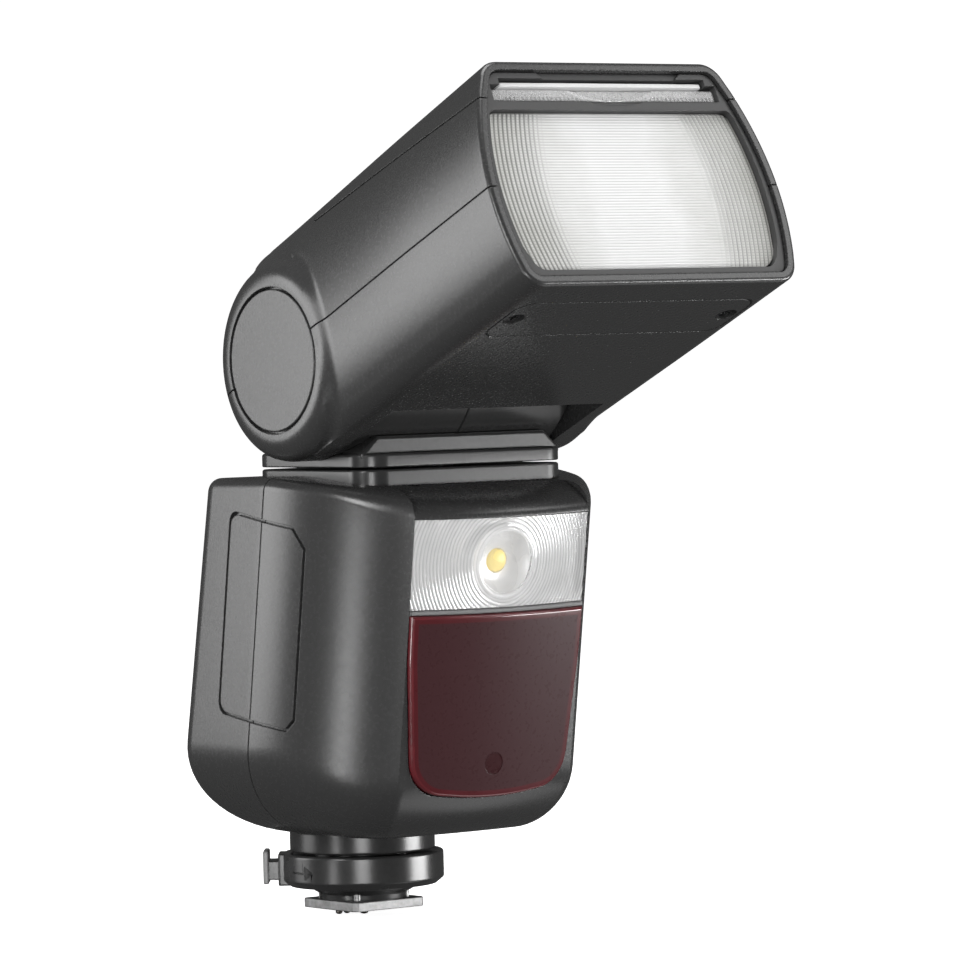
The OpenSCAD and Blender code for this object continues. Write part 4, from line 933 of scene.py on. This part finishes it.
# lock ring with a plain arrow pressed into it, and its lever
ring_side = [(HUB_R, RING_LOW), (RING_R - 1.6, RING_LOW), (RING_R, RING_LOW + 1.3), (RING_R, RING_HIGH),
             (RING_R - 1.2, RING_HIGH), (RING_R - 1.5, RING_HIGH - 0.35), (HUB_R, RING_HIGH - 0.35)]
ring = Shape().lathe(rounded(ring_side, [0, 0.3, 0.6, 0.6, 0.25, 0, 0], 6), 180).object("lock_ring_piece")
at_lever = Matrix.Rotation(math.radians(LEVER_ANGLE), 4, "Z")
at_mark = Matrix.Rotation(math.radians(LEVER_ANGLE + 43), 4, "Z")
boolean(ring, prism(rectangle(RING_R - 2.4, -4.2, 30, 4.2), 0, 30, flat, at_lever))
boolean(ring, prism(rectangle(-3.4, 8.25, 0.6, 8.65), RING_R - 0.28, RING_R + 2, facing_side, at_mark))
arrow_head = np.array([(0.9, 7.0), (3.2, 8.45), (0.9, 9.9)])
boolean(ring, prism(arrow_head, RING_R - 0.3, RING_R + 2, facing_side, at_mark))
finish_piece(ring, "lock_ring", "satin", "lock_ring")
lever = Shape()
root = rectangle(RING_R - 2.3, -4.05, RING_R + 0.7, 4.05, 0.5, 5)
arm = rectangle(RING_R + 0.4, -3.9, LEVER_R - 0.9, 3.9, 0.2, 3)
tab = rectangle(LEVER_R - 1.25, -4.1, LEVER_R, 4.1, 0.45, 5)
lever.slab(root, RING_LOW + 0.2, RING_HIGH - 0.1, 0.3, 0.3)
lever.slab(arm, RING_LOW + 1.5, RING_HIGH - 1.6, 0.2, 0.2)
lever.slab(tab, RING_LOW + 0.6, RING_HIGH + 0.6, 0.4, 0.4, mat=1)
lever = lever.object("lock_lever_piece", at_lever)
finish_piece(lever, "lock_ring", ["satin", "tab"], "lock_lever", "grey_trim")

# ======== Yoke ========
BASE_LOW, BASE_HIGH, PED_HIGH, PED_W = PLINTH_TOP + 0.45, PLINTH_TOP + 3.3, PLINTH_TOP + 6.9, 21.5
base = Shape().slab(plinth_outline(), BASE_LOW, BASE_HIGH, 0.3, 0.6).object("yoke_base_piece")
foot_x = PLINTH_W / 2 - 0.9
ped = [(-foot_x, BASE_HIGH - 1), (foot_x, BASE_HIGH - 1), (foot_x, BASE_HIGH), (PED_W + 0.4, PED_HIGH),
       (-PED_W - 0.4, PED_HIGH), (-foot_x, BASE_HIGH)]
pedestal = Shape().slab(rounded(ped, [0, 0, 1.0, 1.6, 1.6, 1.0], 6), TILT_Y - 15, TILT_Y + 15, 0.7, 0.7,
                        to=facing_front).object("tool")
tilt_axis, swivel_axis = (0, TILT_Y, TILT_Z), (0, SWIVEL_Y, 0)
boolean(base, pedestal, "UNION")
boolean(base, rod(CHEEK_R - 0.15, -40, 40, facing_side, at=tilt_axis, n=128))
boolean(base, rod(9.05, 80, 97, at=swivel_axis))
finish_piece(base, "yoke", "satin", "yoke_base")
drum_r = CHEEK_R - 0.2
drum_side = rounded([(drum_r, 0.1), (drum_r, 26.6), (0, 26.6), (0, 0.1)], [0.25, 0.8, 0, 0], 5)
drum_room = [(0, -4.0), (drum_r - 2.2, -4.0), (drum_r - 2.2, 24.4), (0, 24.4)]
for side, name in ((-1, "left_drum"), (1, "right_drum")):
    drum = Shape().lathe([(r, side * x) for r, x in drum_side], 160, facing_side, at=tilt_axis)
    drum = drum.object(name + "_piece")
    room = Shape().lathe([(r, side * x) for r, x in drum_room], 96, facing_side, at=tilt_axis)
    boolean(drum, room.object("tool"))
    boolean(drum, rod(5.05, -40, 40, facing_side, at=tilt_axis))
    boolean(drum, rod(6.4, 80, 102, at=swivel_axis))
    finish_piece(drum, "yoke", "satin", name)

# ======== Head. Its points are (x, -u, w): u forward from the tilt axis, w square to it. ========
def bow(w, half=HEAD_HALF_W):
    return half - (w - WIDEST_W) ** 2 / (2 * HEAD_SIDE_R)


def head_section(d, high, narrow=0.0, n_side=26):
    """The head across as (x, w) points, every wall moved in by d."""
    ws = np.linspace(HEAD_LOW + 6, high - 6.5, n_side)
    side = [(bow(w) - narrow, w) for w in ws]
    right = [(bow(HEAD_LOW) - narrow, HEAD_LOW)] + side + [(bow(high) - narrow, high)]
    left = [(-x, w) for x, w in right[::-1]]
    r = [5.0 - d] + [0] * n_side + [5.5 - d]
    return rounded(shrink(np.array(right + left), d), r + r[::-1], 10)


def head_top(u):
    return HEAD_HIGH - (HEAD_U - u) * math.tan(math.radians(TOP_FALL))


def boss(rho):
    """Half width of the pivot boss at a distance from the axis: flat, then rolling off."""
    t = np.clip((rho - BOSS_R) / (CHEEK_R - BOSS_R), 0, 1)
    return HEAD_HALF_W - 4.4 * (1 - np.sqrt(np.maximum(0, 1 - t ** 2.0)))


def narrowing(u):
    return 0.7 * (1 - blend01((u - 6) / 50))


def head_loft(name, d, u0, u1, front_r=0.9, back_r=3.0, boss_on=True):
    us = [(u0, 0.0)]
    if back_r:
        quarter = np.linspace(0, math.pi / 2, 7)
        us = [(u0 + back_r * (1 - math.cos(a)), back_r * (1 - math.sin(a))) for a in quarter]
    dense_end = min(u1 - 4, 30)
    us += [(u, 0.0) for u in np.linspace(us[-1][0], dense_end, 46)[1:]]
    us += [(u, 0.0) for u in np.linspace(dense_end, u1 - front_r, 16)[1:]]
    if front_r:
        quarter = np.linspace(0, math.pi / 2, 6)[1:]
        us += [(u1 - front_r * (1 - math.sin(a)), front_r * (1 - math.cos(a))) for a in quarter]
    rings = []
    for u, inset in us:
        ring = head_section(d, head_top(u), narrowing(u))
        if inset:
            ring = shrink(ring, inset)
        if boss_on:
            x, w = ring[:, 0], ring[:, 1]
            rho = np.hypot(u, w)
            b = boss(rho)
            gap = np.abs(b - np.abs(x))
            k = 1.6
            soft = np.maximum(b, np.abs(x)) + np.maximum(k - gap, 0) ** 2 / (4 * k)
            soft = np.minimum(soft, HEAD_HALF_W)
            # only where the boss really reaches, and only on the flanks
            near = blend01((24.5 - rho) / 2.5) * (np.abs(x) > 29)
            soft = np.where(rho < 15.6, soft - 0.3, soft)
            x = np.where(near > 0, np.sign(x) * (np.abs(x) + (soft - np.abs(x)) * near), x)
            ring = np.stack([x, w], 1)
        rings.append([(x, -u, w) for x, w in ring])
    return Shape().loft(rings).object(name, HEAD)


head = head_loft("head_whole", 0.0, HEAD_BACK, HEAD_U)
# the cheeks stand a hair proud of the head's own bosses, so that the two faces don't coincide
boss_r = np.concatenate([np.linspace(0, BOSS_R, 6), np.linspace(BOSS_R, CHEEK_R, 18)[1:]])
cheek_side = [(r, float(boss(r)) + (0.012 if r < 20 else 0)) for r in boss_r]
cheek_side = [(0, 24.0)] + cheek_side + [(CHEEK_R, 24.0)]
for side in (-1, 1):
    cheek = Shape().lathe([(r, side * x) for r, x in cheek_side], 160, facing_side)
    boolean(head, cheek.object("tool", HEAD), "UNION")


def above_cover(g):
    """Side view of the region of the top cover, grown by g."""
    front, back = -HEAD_U - 5, -COVER_BACK - g
    return np.array([(back, 60), (front, 60), (front, COVER_FRONT_W - g), (back, COVER_BACK_W - g)])


slot_side = np.concatenate([[(-SLOT_R, -60), (60, -60), (60, 60), (-HEAD_BACK, 60)],
                            arc(0, 0, SLOT_R, math.degrees(math.acos(-HEAD_BACK / SLOT_R)), 180, 60)])
CAP_X = HEAD_HALF_W - CAP_T
head_tools = [
    prism(slot_side, -CHEEK_IN, CHEEK_IN, facing_side, HEAD),
    head_loft("tool", WALL, SLOT_R + 2, HEAD_U + 5, 0, 0, False),
    rod(5.06, -34.3, 34.3, facing_side, HEAD),
    rod(CAP_R + 0.25, CAP_X, 60, facing_side, HEAD, n=128),
    rod(CAP_R + 0.25, -60, -CAP_X, facing_side, HEAD, n=128),
]
for tool in head_tools:
    boolean(head, tool)
half_gap = SEAM_GAP / 2
cover_space = prism(above_cover(-half_gap), -60, 60, facing_side, HEAD)
top_cover = boolean(copy_of(head, "head_cover"), cover_space, "INTERSECT")
upper_space = box_tool((-60, -120, HEAD_SEAM + half_gap), (60, 60, 60), HEAD)
upper = boolean(copy_of(head, "head_upper"), upper_space, "INTERSECT")
boolean(upper, prism(above_cover(half_gap), -61, 61, facing_side, HEAD))
lower = boolean(head, box_tool((-60, -120, -60), (60, 60, HEAD_SEAM - half_gap), HEAD), "INTERSECT")
lower.name = "head_lower"
groove_out = rectangle(-30.5, -73.4, 30.5, -57.4, 4, 8)
groove_in = rectangle(-30.1, -73.0, 30.1, -57.8, 3.6, 8)
outline_groove = prism(groove_out, HEAD_LOW - 2, HEAD_LOW + 0.4, flat, HEAD)
boolean(outline_groove, prism(groove_in, HEAD_LOW - 3, HEAD_LOW + 3, flat, HEAD))
boolean(lower, outline_groove)
HEAD_SCREWS = [(side * 27.3, -65.7) for side in (-1, 1)]
for x, y in HEAD_SCREWS:
    boolean(lower, rod(2.3, -30, -19.9, flat, HEAD, (x, y, 0), 48))
    boolean(lower, rod(1.05, -30, 0, flat, HEAD, (x, y, 0), 24))
finish_piece(top_cover, "head", "shell", "head_top_cover")
finish_piece(upper, "head", "shell", "head_upper_shell")
finish_piece(lower, "head", "shell", "head_lower_shell")

cap_edge = CAP_R - 0.3
cap_side = [(0, CAP_X), (cap_edge, CAP_X), (cap_edge, HEAD_HALF_W), (0, HEAD_HALF_W)]
cap_side = rounded(cap_side, [0, 0, 0.3, 0], 5)
for side, name in ((-1, "left_cap"), (1, "right_cap")):
    cap = Shape().lathe([(r, side * x) for r, x in cap_side], 160, facing_side).object(name, HEAD)
    notch = rectangle(-0.8, CAP_R - 0.7, 0.8, CAP_R + 1)
    boolean(cap, prism(notch, HEAD_HALF_W - 0.9, HEAD_HALF_W + 1, lambda p, s=side: (s * p[2], p[0], p[1]),
                       HEAD @ turn_x(-92)))
    finish_piece(cap, "head", "shell", "pivot_caps", "satin_plastic")

screws = Shape()
screw_side = [(0, -20.8), (1.9, -20.8), (1.9, -19.95), (0.9, -19.95), (0.9, -14.4), (0, -14.4)]
for x, y in HEAD_SCREWS:
    screws.lathe(rounded(screw_side, [0, 0.35, 0, 0, 0, 0], 5), 48, at=(x, y, 0))
screws = screws.object("head_screw_pair", HEAD)
for x, y in HEAD_SCREWS:
    for spin in (0, 90):
        place = HEAD @ Matrix.Translation((x, y, 0)) @ Matrix.Rotation(math.radians(spin), 4, "Z")
        boolean(screws, prism(rectangle(-1.2, -0.25, 1.2, 0.25, 0.1, 2), -22, -20.3, flat, place))
finish_piece(screws, "head", "screw", "head_screws")


# ---------- front of the head ----------
def lens_bow(w):
    return LENS_HALF_W - (w + 1) ** 2 / (2 * HEAD_SIDE_R)


def lens_outline(d, n=18):
    side = [(lens_bow(w), w) for w in np.linspace(LENS_LOW + 5, LENS_HIGH - 4, n)]
    right = [(lens_bow(LENS_LOW) - 1, LENS_LOW)] + side + [(lens_bow(LENS_HIGH), LENS_HIGH)]
    left = [(-x, w) for x, w in right[::-1]]
    radii = [3.5] + [0] * n + [2]
    return rounded(shrink(np.array(right + left), d), radii + radii[::-1], 8)


def along_head(p):
    return (p[0], -p[2], p[1])


# the finger dips in the frame and in the wide panel's bar
PULL_X, PULL_R = 2.0, 27.0
lens_frame = head_loft("lens_frame_piece", WALL + 0.1, 74, HEAD_U - 0.8, 0.35, 0, False)
boolean(lens_frame, prism(rectangle(-28, -75, 28, -26), 18.2, 19.1, flat, HEAD), "UNION")
for x, y in HEAD_SCREWS:
    boolean(lens_frame, box_tool((x - 2.8, -75, -19), (x + 2.8, -62, -15), HEAD), "UNION")
frame_tools = [
    prism(lens_outline(-0.1), LENS_U - 2.2, HEAD_U + 5, along_head, HEAD),
    prism(lens_outline(1.6), 0, HEAD_U, along_head, HEAD),
    box_tool((-28.9, -HEAD_U - 5, 19.3), (28.9, -69, 23), HEAD),
    box_tool((-26.4, -HEAD_U - 5, 22.0), (26.4, -69, 24.4), HEAD),
    rod(PULL_R, -HEAD_U - 1, 1.4 - HEAD_U, facing_front, HEAD, (PULL_X, 0, 18.3 + PULL_R), 160),
]
for tool in frame_tools:
    boolean(lens_frame, tool)
finish_piece(lens_frame, "head", "frame", "lens_frame", "grey_trim")


# the lens: a closed plate with level ribs all over its face, and bowed upright ones at the sides
def lens_half(w):
    """Half width of the lens at height w, its corners rounded."""
    low, high = 3.2, 1.8
    half = lens_bow(w) - 0.03
    if w < LENS_LOW + low:
        half -= low - math.sqrt(max(0, low ** 2 - (LENS_LOW + low - w) ** 2)) + (LENS_LOW + low - w) / low
    if w > LENS_HIGH - high:
        half -= high - math.sqrt(max(0, high ** 2 - (w - LENS_HIGH + high) ** 2))
    return half


def rib(phase):
    """A saw tooth with a rounded crest, from 0 to 1."""
    t = phase % 1.0
    return np.where(t < 0.75, np.sin(t / 0.75 * math.pi / 2), np.cos((t - 0.75) / 0.25 * math.pi / 2))


lens_ws = np.linspace(LENS_LOW + 0.03, LENS_HIGH - 0.03, 280)
cols = np.linspace(-1, 1, 331)
front_rows = []
for w in lens_ws:
    half = lens_half(w)
    x = cols * half
    straight = np.abs(x) + (w + 1) ** 2 / (2 * HEAD_SIDE_R)
    sides = blend01((straight - UPRIGHT_FROM) / 5)
    relief = 0.16 * rib(straight / UPRIGHT_PITCH) * sides
    relief += 0.06 * rib((w + 30) / LEVEL_PITCH) * (1 - 0.5 * sides)
    margin = np.minimum(np.minimum(half - np.abs(x), w - LENS_LOW), LENS_HIGH - w)
    relief = relief * np.clip(margin / 0.4, 0, 1)
    front_rows.append([(xi, -(LENS_U - 0.25 + r), w) for xi, r in zip(x, relief)])
lens = Shape().add(*closed_sheet(front_rows, lambda p: (p[0], 2.1 - LENS_U, p[2])))
lens = lens.object("ribbed_lens", HEAD)
finish_piece(lens, "head", "lens_clear", "fresnel_lens", "clear_plastic", 60, False)

# pull-out panel and card
PANEL_BACK = 24
blade = Shape().slab(rectangle(-27.2, -79, 27.2, -PANEL_BACK, 1.0, 5), 19.7, 20.8, 0.15, 0.15)
blade = blade.object("wide_panel_piece", HEAD)
bar = Shape().slab(rectangle(-28.6, 19.6, 28.6, 22.3, 0.5, 5), 78.2, 80.2, 0.2, 0.35, to=along_head)
bar = bar.object("tool", HEAD)
boolean(bar, rod(PULL_R, -81, -79.4, facing_front, HEAD, (PULL_X, 0, 19.9 + PULL_R), 160))
boolean(blade, bar, "UNION")
for i in range(-24, 27):
    x = i * 1.05
    if abs(x - PULL_X) > 9:
        boolean(blade, box_tool((x - 0.22, -81, 19.85), (x + 0.22, -80.0, 20.55), HEAD))
finish_piece(blade, "wide_panel", "panel_clear", "wide_panel", "clear_plastic")
card = Shape().slab(rectangle(-26, -80.2, 26, -PANEL_BACK, 0.6, 5), 22.9, 23.8, 0.15, 0.15)
finish_piece(card.object("bounce_card_piece", HEAD), "bounce_card", "card", "bounce_card")

# ======== CAD nodes that show as they are, each with its own finish ========
carried = {
    "af_lamp": "af", "main_board": "board", "flash_capacitor": "sleeve", "battery_tray": "inner",
    "battery_contacts": "gold", "lcd_module": "display", "foot_screws": "shaft", "sync_jack": "port",
    "usb_port": "port", "lock_pin": "shaft", "swivel_sleeve": "shaft", "swivel_nut": "shaft",
    "tilt_axle": "shaft", "zoom_motor": "port", "guide_rods": "shaft", "lead_screw": "shaft",
    "zoom_carriage": "inner", "reflector": "mirror", "flash_tube": "tube",
}
for name, finish in carried.items():
    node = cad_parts[name]
    node.data.materials.clear()
    node.data.materials.append(FINISHES[finish])

# ======== Studio ========
CAMERA_AZIMUTH, MIDDLE_Y, MIDDLE_Z = 37.56, -0.02, 0.09
scene = bpy.context.scene
scene.view_settings.view_transform = "Standard"


def sweep():
    """A pale floor that curves up behind into a wall."""
    low, half, front, back, r, high = cad_box[0][2] / MM, 4200, -4200, 3600, 1200, 4800
    section = [(front, low), *arc(back - r, low + r, r, -90, 0, 24), (back, high)]
    turned = Matrix.Rotation(math.radians(-CAMERA_AZIMUTH), 4, "Z")
    shape = Shape().loft([[(x, y, z) for y, z in section] for x in (-half, half)], caps=False, closed=False)
    obj = shape.object("sweep", turned)
    bm = bmesh.new()
    bm.from_mesh(obj.data)
    bmesh.ops.scale(bm, vec=(MM, MM, MM), verts=bm.verts)
    for f in bm.faces:
        f.smooth = True
    bm.to_mesh(obj.data)
    bm.free()
    paper = surface("paper", grey(0.86), grey(0.88), (0.7, 0.8), 300, 0.02, 0.1, spec=0.2, edge=0)
    glow = paper.node_tree.nodes["Principled BSDF"].inputs
    glow["Emission Color"].default_value = (1, 1, 1, 1)
    glow["Emission Strength"].default_value = 0.95
    obj.data.materials.append(paper)
    # the paper is lit on its own, so that the black plastic keeps its dark undersides
    obj.visible_glossy = obj.visible_diffuse = obj.visible_shadow = False


def lamp(name, azimuth, elevation, distance, size_x, size_y, watts):
    """A soft box round the object: azimuth 0 is in front of it, 90 on the +X side; lengths in metres."""
    light = bpy.data.lights.new(name, "AREA")
    light.shape = "RECTANGLE"
    light.size, light.size_y, light.energy = size_x, size_y, watts
    obj = bpy.data.objects.new(name, light)
    a, e = math.radians(azimuth), math.radians(elevation)
    level = distance * math.cos(e)
    place = Vector((level * math.sin(a), -level * math.cos(a), MIDDLE_Z + distance * math.sin(e)))
    direction = Vector((0, MIDDLE_Y, MIDDLE_Z)) - place
    obj.matrix_world = Matrix.Translation(place) @ direction.to_track_quat("-Z", "Y").to_matrix().to_4x4()
    scene.collection.objects.link(obj)


sweep()
lamp("back_left", -131, 7, 0.9, 0.42, 0.54, 3.6)
lamp("left", -79, -15, 0.9, 0.14, 0.12, 0.8)
lamp("left_high", -72, 16, 0.9, 0.22, 0.33, 3.4)
lamp("front", -37, -6, 0.9, 0.28, 0.15, 2.4)
lamp("right", 50, -7.5, 0.9, 0.44, 0.14, 5.6)
lamp("high", 20, 80, 1.0, 0.7, 0.7, 9.5)
lamp("rim", 48, 34, 1.0, 0.35, 0.2, 0.8)
lamp("low", 48, -48, 0.9, 0.6, 0.4, 0.9)
world = bpy.data.worlds.new("studio")
world.use_nodes = True
world.node_tree.nodes["Background"].inputs["Color"].default_value = (1, 1, 1, 1)
world.node_tree.nodes["Background"].inputs["Strength"].default_value = 0.08
scene.world = world

# the photograph's camera: its angles in degrees, its place in millimetres, its focal length in image widths
azimuth, elevation, roll = (math.radians(a) for a in (CAMERA_AZIMUTH, 1.59, -1.42))
CAMERA_AT, FOCAL, SENSOR = (-717.885, -981.298, 122.037), 5700 / 980, 36
level = math.cos(elevation)
look = Vector((level * math.sin(azimuth), level * math.cos(azimuth), -math.sin(elevation)))
across = Vector((math.cos(azimuth), -math.sin(azimuth), 0))
down = look.cross(across)
right = math.cos(roll) * across - math.sin(roll) * down
below = math.sin(roll) * across + math.cos(roll) * down
camera = bpy.data.cameras.new("camera")
camera.sensor_width, camera.lens = SENSOR, SENSOR * FOCAL
camera.clip_end = 20
camera_obj = bpy.data.objects.new("camera", camera)
turned = Matrix((right, -below, -look)).transposed().to_4x4()
camera_obj.matrix_world = Matrix.Translation(Vector(CAMERA_AT) * MM) @ turned
scene.collection.objects.link(camera_obj)
scene.camera = camera_obj
